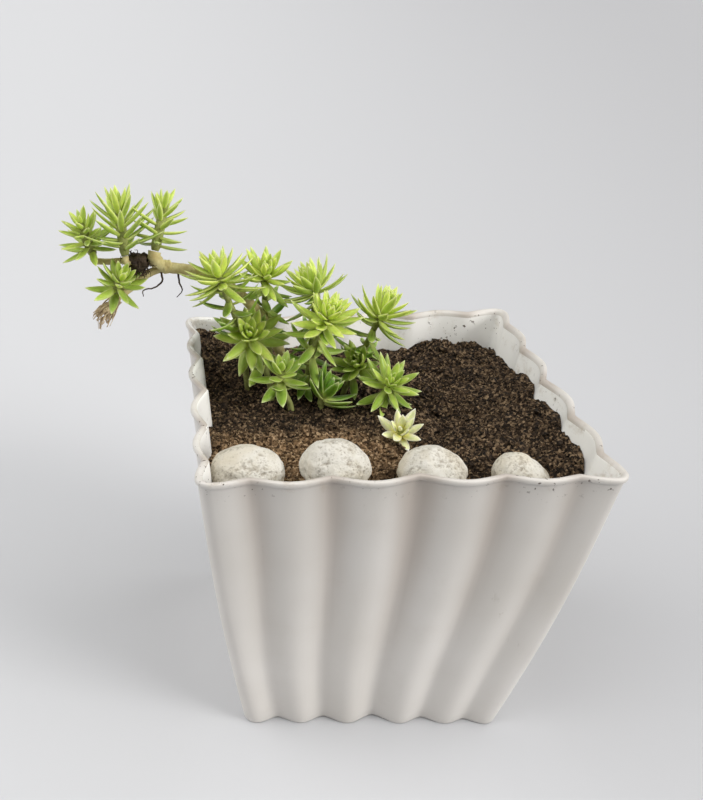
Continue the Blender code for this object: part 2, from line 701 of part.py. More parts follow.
def main():
    clear_scene()
    group = new_collection("potted_sedum")
    white = material("pot_white", (0.82, 0.81, 0.78), 0.45)
    earth = material("soil_brown", (0.075, 0.045, 0.028), 0.95)
    stone_grey = material("stone_pale", (0.72, 0.69, 0.62), 0.85)
    green = material("leaf_green", (0.35, 0.50, 0.10), 0.5)
    pale = material("leaf_pale", (0.80, 0.76, 0.42), 0.5)
    bark = material("stem_tan", (0.50, 0.40, 0.18), 0.7)
    dark = material("root_dark", (0.10, 0.06, 0.04), 0.9)

    make_pot(group).data.materials.append(white)
    make_soil(group).data.materials.append(earth)
    for name, spec in STONES.items():
        stone = new_object(name, mesh_of(name, stone_shape(spec)), group)
        stone.data.materials.append(stone_grey)
        stone.data.shade_smooth()
    leaves = place_leaves()
    for name, spec in SHOOTS.items():
        shoot = make_shoot(name, spec, leaves[name], group)
        shoot.data.materials.append(pale if name == "shoot_pale" else green)
    make_long_stem(group).data.materials.append(bark)
    make_dark_roots(group).data.materials.append(dark)


main()
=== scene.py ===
"""The looks of a potted sedum: a fluted white pot, crumbly soil, pitted stones and leafy shoots.

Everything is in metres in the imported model's own frame: the origin is the centre of the pot's
underside, +Z is up and the front wall faces -Y. Routes and places in mm match the solids.
"""

import math
import random

import bmesh
import bpy
from mathutils import Matrix, Vector, noise
from mathutils.kdtree import KDTree


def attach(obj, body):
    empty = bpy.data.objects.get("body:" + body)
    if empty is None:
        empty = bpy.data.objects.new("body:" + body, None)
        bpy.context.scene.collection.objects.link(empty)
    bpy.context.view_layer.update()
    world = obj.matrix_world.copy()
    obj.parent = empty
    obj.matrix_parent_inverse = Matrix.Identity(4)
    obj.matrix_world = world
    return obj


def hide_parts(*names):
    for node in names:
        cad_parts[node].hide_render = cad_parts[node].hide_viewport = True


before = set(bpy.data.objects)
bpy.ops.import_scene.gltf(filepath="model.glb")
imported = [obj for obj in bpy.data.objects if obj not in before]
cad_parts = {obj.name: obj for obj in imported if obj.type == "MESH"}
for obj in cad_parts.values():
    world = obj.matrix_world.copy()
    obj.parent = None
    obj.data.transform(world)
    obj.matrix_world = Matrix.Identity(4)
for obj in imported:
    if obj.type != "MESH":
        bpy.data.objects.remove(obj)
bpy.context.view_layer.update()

MM = 0.001

# Pot
RIM_SIDE = 140 * MM
BASE_SIDE = 98 * MM
POT_HEIGHT = 123 * MM
WALL = 1.8 * MM
WALL_BOW = 1.5 * MM
CORNER_RADIUS = 4.5 * MM
FLUTE_DEPTH_BASE = 4.0 * MM
FLUTE_DEPTH_RIM = 3.7 * MM
FLUTE_SWAY = 1.0 * MM
RIDGE_PLACES = (0.0, 0.19, 0.395, 0.625, 0.825, 1.0)
RIDGE_STEP = 0.21
SHARPNESS_BASE = 0.3
SHARPNESS_RIM = 0.7
POINTS_PER_FLUTE = 12
CORNER_POINTS = 6
WALL_LEVELS = 22
WALL_FOOT = 1.2 * MM
WALL_RISE = POT_HEIGHT - 4.2 * MM
BASE_SKEW = 0.06
BASE_FORWARD = 1.6 * MM
RIM_WIDER = 1.4 * MM
RIM_SKEW = 2.6 * MM
RIM_LIFT = 1.6 * MM
DRAIN_RADIUS = 3.5 * MM
DRAIN_CIRCLE = 24 * MM
INSIDE_FROM = 30 * MM
SMOOTH_ANGLE = 40

# The rolled lip from the outside over the top to the inside, in mm: height from the rim, and inset
LIP = [(-3.0, 0.0), (-2.4, -0.15), (-2.1, -0.55), (-1.7, -0.8), (-1.0, -0.8), (-0.45, -0.62),
       (-0.12, -0.25), (0.0, 0.3), (-0.12, 0.95), (-0.5, 1.5), (-1.1, 1.78), (-2.0, 1.8)]

# Soil
SOIL_LEVEL = 107 * MM
SOIL_CELLS = 290
SOIL_SPAN = 67 * MM
SOIL_EDGE = 66 * MM
SOIL_HIGHEST = 120.5 * MM
CRUMB_HIGHEST = 121 * MM
CRUMB_REACH = 65
CRUMB_KINDS = 6
MIDDLE_SPAN = 50 * MM
CALM_FROM = 0.93
SOIL_GAP = 0.35 * MM
SKIRT_GAP = 4.0 * MM
SKIRT_HEIGHTS = (101 * MM, 87 * MM, 62 * MM, 32 * MM, 2.2 * MM)
STEM_DEPTH = 12 * MM

# Round rises and dips of the soil's top, in mm: the middle, the radius and the height
SOIL_RISES = [
    ((-66, 66), 26, 9.8), ((46, 58), 18, 5.0), ((66, -20), 26, 10.0), ((66, 20), 18, 8.0),
    ((64, -50), 16, 2.0), ((-54, 26), 13, -2.5), ((-64, -25), 16, 4.0), ((-15, -27), 16, 1.5),
    ((25, 5), 18, -1.5), ((7.5, -13), 8, -1.5),
]

# Loose crumbs: how finely each is made, how many there are, their least and greatest size (mm), and a seed
CRUMBS = {
    "soil_clods": (2, 800, (0.9, 2.2), 11),
    "soil_crumbs": (1, 8500, (0.38, 0.95), 12),
    "soil_grit": (1, 9000, (0.25, 0.6), 13),
}

# Stones: centre across, width, depth, height of the middle, seed, and how much lower the right side is
STONE_Y = -49 * MM
STONE_HEIGHT = 19 * MM
STONES = {
    "stone_1": (-51.9 * MM, 26.5 * MM, 19 * MM, 113.4 * MM, 3, 0.0),
    "stone_2": (-22.5 * MM, 24.7 * MM, 21 * MM, 115.1 * MM, 8, 0.12),
    "stone_3": (11.7 * MM, 25.2 * MM, 20 * MM, 112.0 * MM, 15, 0.1),
    "stone_4": (43.3 * MM, 21.2 * MM, 17 * MM, 109.5 * MM, 22, 0.42),
}

# Pores of three kinds: how many to a stone's radius, how wide and how deep
PORES = [(4.0, 0.42, 0.050), (8.0, 0.46, 0.030), (15.0, 0.46, 0.014)]

# Leaves
GOLDEN_ANGLE = 137.5
LEAF_SINK = 0.6 * MM
LEAF_THICK = 1.5 * MM
SIDE_STEP = 1.8 * MM
CORE_FOOT = 2.4 * MM
LEAF_CLEAR = 0.3 * MM
RIM_CLEAR = 2 * MM
SOIL_CLEAR = 1.6 * MM
STONE_CLEAR = 1.3
UPRIGHT = 84
SHOOT_STEM = 1.2 * MM
CORE_RADII = (1.3 * MM, 1.9 * MM, 1.9 * MM, 0.9 * MM)

# A leaf from its foot to near its tip: how far along, how wide and how thick, then its section
LEAF_STATIONS = [(0.0, 0.55, 0.66), (0.13, 0.74, 0.88), (0.3, 0.97, 1.0), (0.5, 1.0, 0.98),
                 (0.7, 0.80, 0.82), (0.86, 0.48, 0.56), (0.96, 0.19, 0.26)]
LEAF_SECTION = [(1.0, 0.10), (0.0, 0.06), (-1.0, 0.10), (-0.66, -0.36), (0.0, -0.66), (0.66, -0.36)]

# What a leaf in the way of another piece is given, the least first: shares of its length, then rise and turn
SHORTER = (1.0, 0.85, 0.7)
TURNED = [(0, 0), (8, 0), (-8, 0), (0, 12), (0, -12), (16, 0), (10, 14), (10, -14),
          (-14, 0), (24, 0), (0, 24), (0, -24), (20, 20), (20, -20), (34, 0)]

# Every shoot, value by value: where its leafy part starts (mm), how far its axis leans and which way,
# the turn of its first leaf, leaf count, leaf length and width (mm), how far up the axis the leaves
# climb (mm), the rise of its lowest and its highest leaves, its seed, the leaves further down its stem,
# how many small leaves fill its heart, how young its leaves look, how many leaves it has for each one
# of the solid's, and how far each leaf curls up along its length.
SHOOT_VALUES = ("at", "lean", "to", "turn", "leaves", "long", "wide", "climb", "low", "high", "seed",
                "below", "heart", "young", "more", "curl")
SHOOT_ROWS = {
    "middle": ((-19.3, 14, 141), 23, -58, 231, 20, 14.2, 3.9, 4.8, 2, 62, 5, 18, 9, 0.85, 1.5, 34),
    "front_left": ((-46.2, 24, 130), 41, -100, 236, 20, 14.9, 4.7, 3.5, -22, 62, 4, 7, 7, 0.75, 1.25, 34),
    "front_low": ((-35.4, 10, 118.5), 12, -85, 219, 19, 12.8, 4.4, 5, -26, 62, 2, 2, 3, 0.35, 0.8, 34),
    "front_dark": ((-18.4, 10, 111), 24, 15, 308, 14, 14.2, 4.3, 2.4, 19, 81, 1, 1, 1, 0, 0.8, 34),
    "front_right": ((7, 10, 116), 32, -72, 262, 20, 14, 3.6, 3, -6, 61, 7, 4, 5, 0.45, 1.1, 34),
    "back_right": ((3.6, 24, 138.5), 23, 9, 313, 20, 14.8, 3.6, 4.8, -4, 85, 3, 17, 8, 0.75, 1.5, 34),
    "back_left": ((-58.5, 18, 155), 19, 137, 27, 22, 15.9, 4, 4.6, -24, 64, 3, 17, 9, 0.85, 1.4, 34),
    "back_middle": ((-21, 30, 147.5), 26, 160, 221, 19, 15.9, 3.6, 2.1, 11, 80, 3, 17, 8, 0.75, 1.5, 34),
    "back_small": ((-41, 30, 152.5), 28, -90, 287, 17, 13.3, 3.4, 4.5, 17, 78, 7, 17, 6, 0.85, 1.4, 34),
    "inner": ((-2.4, 24, 118.5), 38, -127, 305, 17, 12.1, 3.9, 2.3, 12, 62, 7, 4, 6, 0.5, 1.3, 34),
    "pale": ((7.5, -14, 108.5), 34, -98, 358, 17, 10.5, 3.8, 3, 20, 66, 2, 0, 1, 0.5, 0.7, 34),
    "far_left": ((-106.6, 28, 164.3), 24, -128, 152, 18, 11.6, 2.7, 11.6, 0, 62, 6, 0, 2, 0.7, 1.6, 14),
    "far_tall": ((-94.3, 22, 167.2), 15, 121, 290, 20, 15.6, 2.7, 14.6, 10, 72, 2, 0, 2, 0.65, 1.55, 14),
    "far_right": ((-82.6, 24, 168.5), 22, 55, 349, 19, 12.4, 2.7, 13.9, -5, 62, 8, 0, 2, 0.7, 1.3, 14),
    "far_low": ((-97.3, 20, 151.8), 26, -40, 133, 18, 11.2, 3.5, 4.9, -24, 60, 3, 0, 4, 0.55, 1.2, 34),
}
SHOOTS = {"shoot_" + name: dict(zip(SHOOT_VALUES, row)) for name, row in SHOOT_ROWS.items()}

# Where each stem of the clump enters the soil, in mm, with the points that it passes on its way up.
STEM_ROUTES = {
    "shoot_middle": [(-24, 23), (-22.5, 17, 128)],
    "shoot_front_left": [(-37, 19), (-41, 22.5, 121)],
    "shoot_front_low": [(-30.5, 10), (-33.5, 9.5, 114)],
    "shoot_front_dark": [(-18.9, 10)],
    "shoot_front_right": [(3, 15)],
    "shoot_back_right": [(-3, 33), (0.5, 28.5, 125)],
    "shoot_back_left": [(-46, 31), (-51, 24.5, 135)],
    "shoot_back_middle": [(-21, 35), (-20.5, 34, 130)],
    "shoot_back_small": [(-35, 43), (-39.5, 37.5, 135)],
    "shoot_inner": [(-8, 23)],
    "shoot_pale": [(7.5, -12)],
}

# The long stem and its twigs, in mm, each ending under the leafy shoot that it carries, and their radii.
TWIGS = {
    "shoot_far_right": ([(-30, 31.5, 96), (-30, 31.5, 108), (-34.5, 31.5, 124), (-44, 30, 140),
                         (-56, 28, 151.5), (-68, 26.5, 157.2), (-79, 25.5, 159.3)], 2.1),
    "shoot_far_low": ([(-79, 25.5, 159.3), (-86, 26, 156), (-93, 24.5, 150.5)], 1.5),
    "shoot_far_tall": ([(-82.5, 24.6, 162), (-88, 24, 162.2)], 1.2),
    "shoot_far_left": ([(-88, 24, 162.2), (-94.5, 26.8, 161), (-100.5, 29.5, 159.5)], 1.2),
}
TWIG_END = 2.5
KNOBS = [(-83, 24, 162.3, 2.7), (-79, 25.4, 159.4, 2.6)]
HANGING_ROOTS = [
    [(-81, 25, 158), (-80.5, 22.5, 154.5), (-83.5, 21.5, 152.3), (-87.5, 21, 151.5), (-87.5, 21, 149)],
    [(-74.5, 25.8, 157.5), (-74, 24, 153.5), (-73, 23.5, 150.5), (-75, 23, 148)],
]
PALE_ROOTS = [
    ([(-97.8, 21.8, 147.3), (-99.6, 20.8, 144.5), (-101.5, 20, 141.5)], 2.4),
    ([(-98.5, 20.5, 146.2), (-102.5, 19.2, 144.5), (-104.6, 18.8, 141.5)], 1.4),
    ([(-101.3, 20, 142), (-103.5, 19.5, 139.5), (-103.8, 19.3, 136.5)], 0.6),
    ([(-99, 20.5, 144), (-100.2, 21, 140.5), (-100.8, 21.2, 138)], 0.6),
]
DARK_LUMP = ((-89.2, 23.8, 161.6), (4.6, 4.2, 3.8))
ROOT_REACH = 1.45

# Colours. A list gives them from the darkest place of a pattern to its lightest.
PLASTIC_OUTSIDE = [(0.3, (0.65, 0.62, 0.58)), (0.7, (0.72, 0.695, 0.665))]
# Painted light: the inside is lighter than the outside, for light that shines through the thin plastic wall
# and bounces between the inner walls
PLASTIC_INSIDE_LIT = [(0.3, (0.89, 0.88, 0.85)), (0.7, (0.94, 0.935, 0.92))]
# Painted shade for the flutes' valleys, darkest near the rim
PLASTIC_GROOVE_SHADE = (0.39, 0.325, 0.275)
PLASTIC_SMUDGE = (0.36, 0.27, 0.17)
PLASTIC_SCUFF = (0.40, 0.36, 0.30)
PLASTIC_SPECK = (0.07, 0.045, 0.03)
# Soil colours: darker away from the front middle, lighter there
SOIL_DARKER = [(0.20, (0.004, 0.0025, 0.0015)), (0.46, (0.030, 0.019, 0.011)),
              (0.64, (0.095, 0.060, 0.034)), (0.82, (0.30, 0.21, 0.125))]
SOIL_LIGHTER = [(0.20, (0.025, 0.014, 0.007)), (0.46, (0.14, 0.084, 0.040)),
            (0.64, (0.30, 0.19, 0.100)), (0.82, (0.56, 0.40, 0.24))]
STONE_SKIN = [(0.3, (0.56, 0.52, 0.43)), (0.48, (0.67, 0.645, 0.58)), (0.75, (0.74, 0.725, 0.68))]
STONE_STAIN = (0.56, 0.48, 0.33)
STONE_FOOT = (0.40, 0.32, 0.20)
STONE_SPECK = (0.30, 0.26, 0.20)
STONE_DIRT = (0.20, 0.16, 0.11)
LEAF_SHADES = [(0.0, (0.80, 0.84, 0.74)), (1.0, (1.12, 1.08, 1.05))]
LEAF_VEINS = [(0.3, (0.88, 0.90, 0.85)), (0.7, (1.1, 1.08, 1.05))]
LEAF_MIDDLE = (0.74, 0.86, 0.58)
# The floor's lit colour at the left and its painted shade at the right
FLOOR_LIT_AND_SHADED = ((0.625, 0.635, 0.66), (0.475, 0.48, 0.50))

# Leaf finishes: the old and the young colour, the margin and the foot
LEAF_FRESH = ((0.17, 0.33, 0.025), (0.74, 0.86, 0.20), (0.88, 0.91, 0.52), (0.66, 0.73, 0.22))
LEAF_CREAM = ((0.88, 0.87, 0.66), (0.92, 0.90, 0.60), (0.96, 0.95, 0.86), (0.93, 0.84, 0.04))

# Stem and root finishes: the dark and the light colour, how fine the mottling is and how rough the skin
BARKS = {
    "stem_olive": ((0.20, 0.22, 0.06), (0.40, 0.43, 0.15), 500.0, 0.5),
    "stem_tan_bark": ((0.52, 0.41, 0.17), (0.80, 0.72, 0.38), 300.0, 0.5),
    "root_umber": ((0.020, 0.012, 0.008), (0.10, 0.065, 0.04), 600.0, 0.8),
    "root_straw": ((0.28, 0.17, 0.08), (0.78, 0.64, 0.42), 420.0, 0.7),
}

# Lights: where each comes from, its strength, its spread in degrees and its colour
SUNS = {
    "ceiling_left": ((-0.6, -0.1, 0.8), 2.05, 70, (1.0, 0.99, 0.97)),
    "ceiling_right": ((0.6, -0.1, 0.8), 1.6, 70, (1.0, 0.99, 0.97)),
    "window": ((0.8, -0.5, 0.33), 1.9, 28, (1.0, 0.98, 0.95)),
    "bounce": ((-0.95, 0.0, 0.3), 0.6, 60, (1.0, 0.98, 0.95)),
}
SKY_COLOUR = (1.0, 0.99, 0.97, 1.0)
SKY_STRENGTH = 0.06

# Camera
LENS = 46.06
SENSOR = 36
LENS_SHIFT = 0.0894
CAMERA_PLACE = (-0.0809, -0.3406, 0.2921)
CAMERA_RIGHT = (0.9933463, -0.10342323, 0.05066321)
CAMERA_UP = (0.00246908, 0.45894015, 0.88846375)
CAMERA_AHEAD = (0.11513917, 0.88242709, -0.45614186)


def mm(point):
    """A point given in millimetres, in metres."""
    return Vector(point) * MM


def only(item):
    """Makes this the one selected and active object."""
    bpy.ops.object.select_all(action="DESELECT")
    item.select_set(True)
    bpy.context.view_layer.objects.active = item


def applied(item, kind, **settings):
    """Adds a modifier to the object and applies it."""
    only(item)
    change = item.modifiers.new(kind.lower(), kind)
    for name, value in settings.items():
        setattr(change, name, value)
    bpy.ops.object.modifier_apply(modifier=change.name)


def joined(items, name, *finishes):
    """The objects as one, with its finishes."""
    bpy.ops.object.select_all(action="DESELECT")
    for item in items:
        item.select_set(True)
    bpy.context.view_layer.objects.active = items[0]
    if len(items) > 1:
        bpy.ops.object.join()
    items[0].name = name
    for finish in finishes:
        items[0].data.materials.append(finish)
    return items[0]


def drawn_skin(name, rings):
    """A circle extruded from ring to ring, closed at both ends. Each ring is a list of as many points."""
    bpy.ops.object.select_all(action="DESELECT")
    bpy.ops.mesh.primitive_circle_add(vertices=len(rings[0]), radius=0.01, fill_type="NOTHING")
    item = bpy.context.object
    item.name = name
    bpy.ops.object.mode_set(mode="EDIT")
    bpy.ops.mesh.select_mode(type="VERT")
    bpy.ops.mesh.select_all(action="SELECT")
    shape = bmesh.from_edit_mesh(item.data)
    place = shape.verts.layers.int.new("place")
    for number, vert in enumerate(shape.verts):
        vert[place] = number
    for number, ring in enumerate(rings):
        if number:
            bpy.ops.mesh.extrude_region_move()
        shape = bmesh.from_edit_mesh(item.data)
        place = shape.verts.layers.int["place"]
        for vert in shape.verts:
            if vert.select:
                vert.co = ring[vert[place]]
        bmesh.update_edit_mesh(item.data)
    bpy.ops.mesh.edge_face_add()
    bpy.ops.mesh.select_all(action="DESELECT")
    shape = bmesh.from_edit_mesh(item.data)
    for edge in shape.edges:
        if edge.is_boundary:
            edge.select_set(True)
    bpy.ops.mesh.edge_face_add()
    bpy.ops.mesh.select_all(action="SELECT")
    bpy.ops.mesh.normals_make_consistent(inside=False)
    bpy.ops.object.mode_set(mode="OBJECT")
    bpy.ops.object.shade_smooth()
    return item


def drift(draw, reach):
    """A random step, up to a reach each way."""
    return Vector([draw.uniform(-reach, reach) for _ in range(3)])


def smooth_route(points, steps):
    """Points along a smooth curve that passes through the given ones."""
    ends = [2 * points[0] - points[1], *points, 2 * points[-1] - points[-2]]
    route = []
    for a, b, c, d in zip(ends, ends[1:], ends[2:], ends[3:]):
        for step in range(steps):
            t = step / steps
            route.append(0.5 * (2 * b + (c - a) * t + (2 * a - 5 * b + 4 * c - d) * t**2
                                + (3 * b - a - 3 * c + d) * t**3))
    route.append(points[-1].copy())
    return route


def tube_rings(route, radii, sides=10, rough=0.0, seed=0):
    """Round sections along a route, with an uneven skin where it is rough."""
    rings = []
    side = Vector((0.3, 1.0, 0.1))
    for number, point in enumerate(route):
        ahead = route[min(number + 1, len(route) - 1)] - route[max(number - 1, 0)]
        ahead.normalize()
        side = (side - ahead * side.dot(ahead)).normalized()
        over = ahead.cross(side)
        ring = []
        for k in range(sides):
            angle = 2 * math.pi * k / sides
            out = side * math.cos(angle) + over * math.sin(angle)
            spot = point / MM * 0.9 + out * 0.8 + Vector((seed * 7.1, 0, 0))
            ring.append(point + out * radii[number] * (1 + rough * noise.noise(spot)))
        rings.append(ring)
    return rings


# Materials

def node_maker(finish):
    """A short way to add shader nodes to a material and set their inputs."""
    tree = finish.node_tree

    def add(kind, inputs=None, **settings):
        node = tree.nodes.new(kind)
        for name, value in settings.items():
            setattr(node, name, value)
        for key, value in (inputs or {}).items():
            if isinstance(value, bpy.types.NodeSocket):
                tree.links.new(value, node.inputs[key])
            else:
                node.inputs[key].default_value = value
        return node
    return add


def new_material(name, roughness, specular):
    """A material with its shader and its node maker."""
    finish = bpy.data.materials.new(name)
    finish.use_nodes = True
    shader = finish.node_tree.nodes["Principled BSDF"]
    shader.inputs["Roughness"].default_value = roughness
    shader.inputs["Specular IOR Level"].default_value = specular
    return finish, shader, node_maker(finish)


def link(finish, output, socket):
    """Joins a node's output to a socket."""
    finish.node_tree.links.new(output, socket)


def ramp(add, factor, stops):
    """A colour ramp over a factor, from a list of (place, colour)."""
    node = add("ShaderNodeValToRGB", {"Fac": factor})
    while len(node.color_ramp.elements) < len(stops):
        node.color_ramp.elements.new(0.5)
    for element, (place, colour) in zip(node.color_ramp.elements, stops):
        element.position = place
        element.color = (*colour, 1.0)
    return node.outputs["Color"]


def grey_ramp(add, factor, low, high, start=0.0, end=1.0):
    """A smooth step of a factor between two values."""
    node = add("ShaderNodeMapRange", {"Value": factor, "From Min": low, "From Max": high,
                                      "To Min": start, "To Max": end}, interpolation_type="SMOOTHSTEP")
    return node.outputs["Result"]


def mixed(add, factor, first, second, blend="MIX"):
    """Two colours mixed by a factor."""
    node = add("ShaderNodeMix", data_type="RGBA", blend_type=blend)
    tree = node.id_data
    for socket, value in ((node.inputs[0], factor), (node.inputs[6], first), (node.inputs[7], second)):
        if isinstance(value, bpy.types.NodeSocket):
            tree.links.new(value, socket)
        elif isinstance(value, tuple):
            socket.default_value = (*value, 1.0)
        else:
            socket.default_value = value
    return node.outputs[2]


def maths(add, operation, first, second=0.0):
    """Two values added, multiplied or otherwise worked together."""
    node = add("ShaderNodeMath", {0: first, 1: second}, operation=operation)
    return node.outputs[0]


def plus(add, first, second):
    """The sum of two values."""
    return maths(add, "ADD", first, second)


def times(add, first, second):
    """The product of two values."""
    return maths(add, "MULTIPLY", first, second)


def places(add):
    """Where a point is on the piece."""
    return add("ShaderNodeTexCoord").outputs["Object"]


def axis(add, vector, name):
    """One coordinate of a vector."""
    return add("ShaderNodeSeparateXYZ", {"Vector": vector}).outputs[name]


def painted(add, name):
    """The channels of a colour that the mesh carries."""
    colour = add("ShaderNodeAttribute", attribute_name=name).outputs[0]
    return add("ShaderNodeSeparateColor", {"Color": colour}).outputs


def relief(add, height, strength, distance, under=None):
    """Bump from a height, over another one where there is one."""
    inputs = {"Height": height, "Strength": strength, "Distance": distance}
    if under is not None:
        inputs["Normal"] = under
    return add("ShaderNodeBump", inputs).outputs["Normal"]


def object_noise(add, scale, detail=3.0, roughness=0.55, stretch=None):
    """Noise over the object's own coordinates."""
    where = places(add)
    if stretch:
        where = add("ShaderNodeMapping", {"Vector": where, "Scale": stretch}).outputs["Vector"]
    node = add("ShaderNodeTexNoise", {"Vector": where, "Scale": scale, "Detail": detail,
                                      "Roughness": roughness})
    return node.outputs["Fac"]


def pot_material(name, inside):
    """White plastic, slightly yellowed, with dirt specks, smudges and scuffs, most of it near the soil;
    painted shade darkens the flutes' valleys towards the rim, and the inside is painted lighter for light
    that shines through the thin wall.
    """
    finish, shader, add = new_material(name, 0.38, 0.45)
    height = axis(add, places(add), "Z")
    tone = object_noise(add, 22.0, 2.0)
    # Painted light: the inside takes lighter colours than the outside
    plastic = ramp(add, tone, PLASTIC_INSIDE_LIT if inside else PLASTIC_OUTSIDE)
    if not inside:
        # Painted shade: the outside's flute valleys are darkened, more towards the rim
        groove_shade = grey_ramp(add, painted(add, "groove")[0], 0.08, 0.9, 0.0, 0.62)
        plastic = mixed(add, groove_shade, plastic, PLASTIC_GROOVE_SHADE)
    near_rim = grey_ramp(add, height, 0.085 if inside else 0.112, 0.122)
    smudge = grey_ramp(add, object_noise(add, 60.0, 6.0, 0.7), 0.52, 0.78)
    smudge = times(add, smudge, plus(add, near_rim, 0.10))
    smudge = times(add, smudge, 0.85 if inside else 0.55)
    stained = mixed(add, smudge, plastic, PLASTIC_SMUDGE)
    scuffs = object_noise(add, 140.0, 5.0, 0.75, (1.0, 1.0, 0.35))
    where_scuffed = grey_ramp(add, object_noise(add, 18.0, 1.0), 0.52, 0.62)
    scuff = times(add, grey_ramp(add, scuffs, 0.63, 0.70), where_scuffed)
    stained = mixed(add, times(add, scuff, 0.35), stained, PLASTIC_SCUFF)
    crumbs = object_noise(add, 620.0, 3.0, 0.55)
    patch = grey_ramp(add, object_noise(add, 42.0, 3.0), 0.46, 0.58)
    amount = times(add, grey_ramp(add, crumbs, 0.635, 0.68), times(add, patch, near_rim))
    speckled = mixed(add, amount, stained, PLASTIC_SPECK)
    link(finish, speckled, shader.inputs["Base Color"])
    rough = grey_ramp(add, object_noise(add, 90.0, 4.0), 0.3, 0.7, 0.32, 0.48)
    link(finish, rough, shader.inputs["Roughness"])
    wave = relief(add, object_noise(add, 45.0, 2.0), 0.25, 0.0006)
    link(finish, relief(add, object_noise(add, 900.0, 2.0), 0.05, 0.0002, wave), shader.inputs["Normal"])
    return finish


def soil_material():
    """Dark potting soil, lighter between the stones and the plants."""
    finish, shader, add = new_material("soil_crumbly", 0.9, 0.2)
    where = places(add)
    cells = add("ShaderNodeTexVoronoi", {"Vector": where, "Scale": 1150.0, "Randomness": 1.0})
    grain = add("ShaderNodeSeparateColor", {"Color": cells.outputs["Color"]}).outputs[0]
    mottle = object_noise(add, 240.0, 6.0, 0.75)
    coarse = plus(add, times(add, grain, 0.58), times(add, mottle, 0.44))
    darker_soil = ramp(add, coarse, SOIL_DARKER)
    lighter_soil = ramp(add, coarse, SOIL_LIGHTER)
    # Lighter near the front middle, darker further away
    across = maths(add, "DIVIDE", plus(add, axis(add, where, "X"), 0.026), 0.044)
    along = maths(add, "DIVIDE", plus(add, axis(add, where, "Y"), 0.030), 0.026)
    away = plus(add, times(add, across, across), times(add, along, along))
    away = plus(add, away, times(add, object_noise(add, 40.0, 4.0), 1.6))
    lightness = grey_ramp(add, away, 2.1, 0.9)
    link(finish, mixed(add, lightness, darker_soil, lighter_soil), shader.inputs["Base Color"])
    link(finish, grey_ramp(add, mottle, 0.35, 0.6, 0.55, 0.95), shader.inputs["Roughness"])
    fine = relief(add, object_noise(add, 1500.0, 5.0, 0.75), 1.0, 0.0005)
    link(finish, fine, shader.inputs["Normal"])
    return finish


def stone_material():
    """Pale porous stone, dirty in its pits and near the soil, with faint yellow stains."""
    finish, shader, add = new_material("stone_porous", 0.9, 0.2)
    pits = painted(add, "pits")[0]
    height = axis(add, places(add), "Z")
    blotch = object_noise(add, 150.0, 5.0, 0.65)
    base = ramp(add, blotch, STONE_SKIN)
    stain = grey_ramp(add, object_noise(add, 75.0, 3.0), 0.48, 0.70, 0.0, 0.5)
    base = mixed(add, stain, base, STONE_STAIN)
    grit = object_noise(add, 620.0, 4.0, 0.7)
    level = plus(add, height, times(add, blotch, 0.010))
    low = grey_ramp(add, level, 0.1215, 0.1125, 0.0, 0.7)
    base = mixed(add, low, base, STONE_FOOT)
    speck = grey_ramp(add, object_noise(add, 1100.0, 3.0, 0.6), 0.58, 0.70, 0.0, 0.5)
    grained = mixed(add, speck, base, STONE_SPECK)
    dark = times(add, pits, grey_ramp(add, grit, 0.25, 0.6, 0.4, 0.9))
    link(finish, mixed(add, dark, grained, STONE_DIRT), shader.inputs["Base Color"])
    link(finish, relief(add, grit, 0.8, 0.0006), shader.inputs["Normal"])
    return finish


def leaf_material(name, old, young, margin, foot):
    """A juicy leaf: its colour goes from old to young, with a pale margin, foot and tip."""
    finish, shader, add = new_material(name, 0.42, 0.5)
    shader.inputs["Subsurface Weight"].default_value = 0.3
    shader.inputs["Subsurface Radius"].default_value = (0.9, 1.0, 0.3)
    shader.inputs["Subsurface Scale"].default_value = 0.0012
    tint = painted(add, "tint")
    spot = add("ShaderNodeUVMap", uv_map="leaf").outputs[0]
    along = axis(add, spot, "Y")
    streak = object_noise(add, 500.0, 3.0)
    green = mixed(add, tint[0], old, young)
    shade = ramp(add, tint[1], LEAF_SHADES)
    green = mixed(add, 1.0, green, shade, "MULTIPLY")
    doubled = times(add, axis(add, spot, "X"), 2.0)
    across = maths(add, "ABSOLUTE", maths(add, "SUBTRACT", doubled, 1.0))
    middle = grey_ramp(add, across, 0.75, 0.1)
    deep = mixed(add, 1.0, green, LEAF_MIDDLE, "MULTIPLY")
    green = mixed(add, times(add, middle, 0.55), green, deep)
    mottled = mixed(add, 1.0, green, ramp(add, streak, LEAF_VEINS), "MULTIPLY")
    pale = mixed(add, 0.5, green, margin)
    edged = mixed(add, times(add, grey_ramp(add, across, 0.72, 0.98), 0.8), mottled, pale)
    low = times(add, grey_ramp(add, along, 0.46, 0.05), 0.7)
    footed = mixed(add, low, edged, foot)
    tip = times(add, grey_ramp(add, along, 0.80, 1.0), 0.55)
    tipped = mixed(add, tip, footed, margin)
    link(finish, tipped, shader.inputs["Base Color"])
    rough = grey_ramp(add, object_noise(add, 800.0, 2.0), 0.3, 0.7, 0.34, 0.52)
    link(finish, rough, shader.inputs["Roughness"])
    link(finish, relief(add, streak, 0.2, 0.0003), shader.inputs["Normal"])
    return finish


def bark_material(name, dark, light, scale, roughness):
    """Stem or root skin, mottled all over."""
    finish, shader, add = new_material(name, 0.7, 0.3)
    grain = object_noise(add, scale, 5.0, 0.65)
    link(finish, ramp(add, grain, [(0.32, dark), (0.68, light)]), shader.inputs["Base Color"])
    skin = relief(add, object_noise(add, scale * 2.2, 4.0, 0.7), roughness, 0.0004)
    link(finish, skin, shader.inputs["Normal"])
    return finish


# Pot

def half_side(height):
    """Half the pot's side at a height: tapered, and bowed a little outwards."""
    t = height / POT_HEIGHT
    return 0.5 * (BASE_SIDE + (RIM_SIDE - BASE_SIDE) * t) + WALL_BOW * math.sin(math.pi * t)


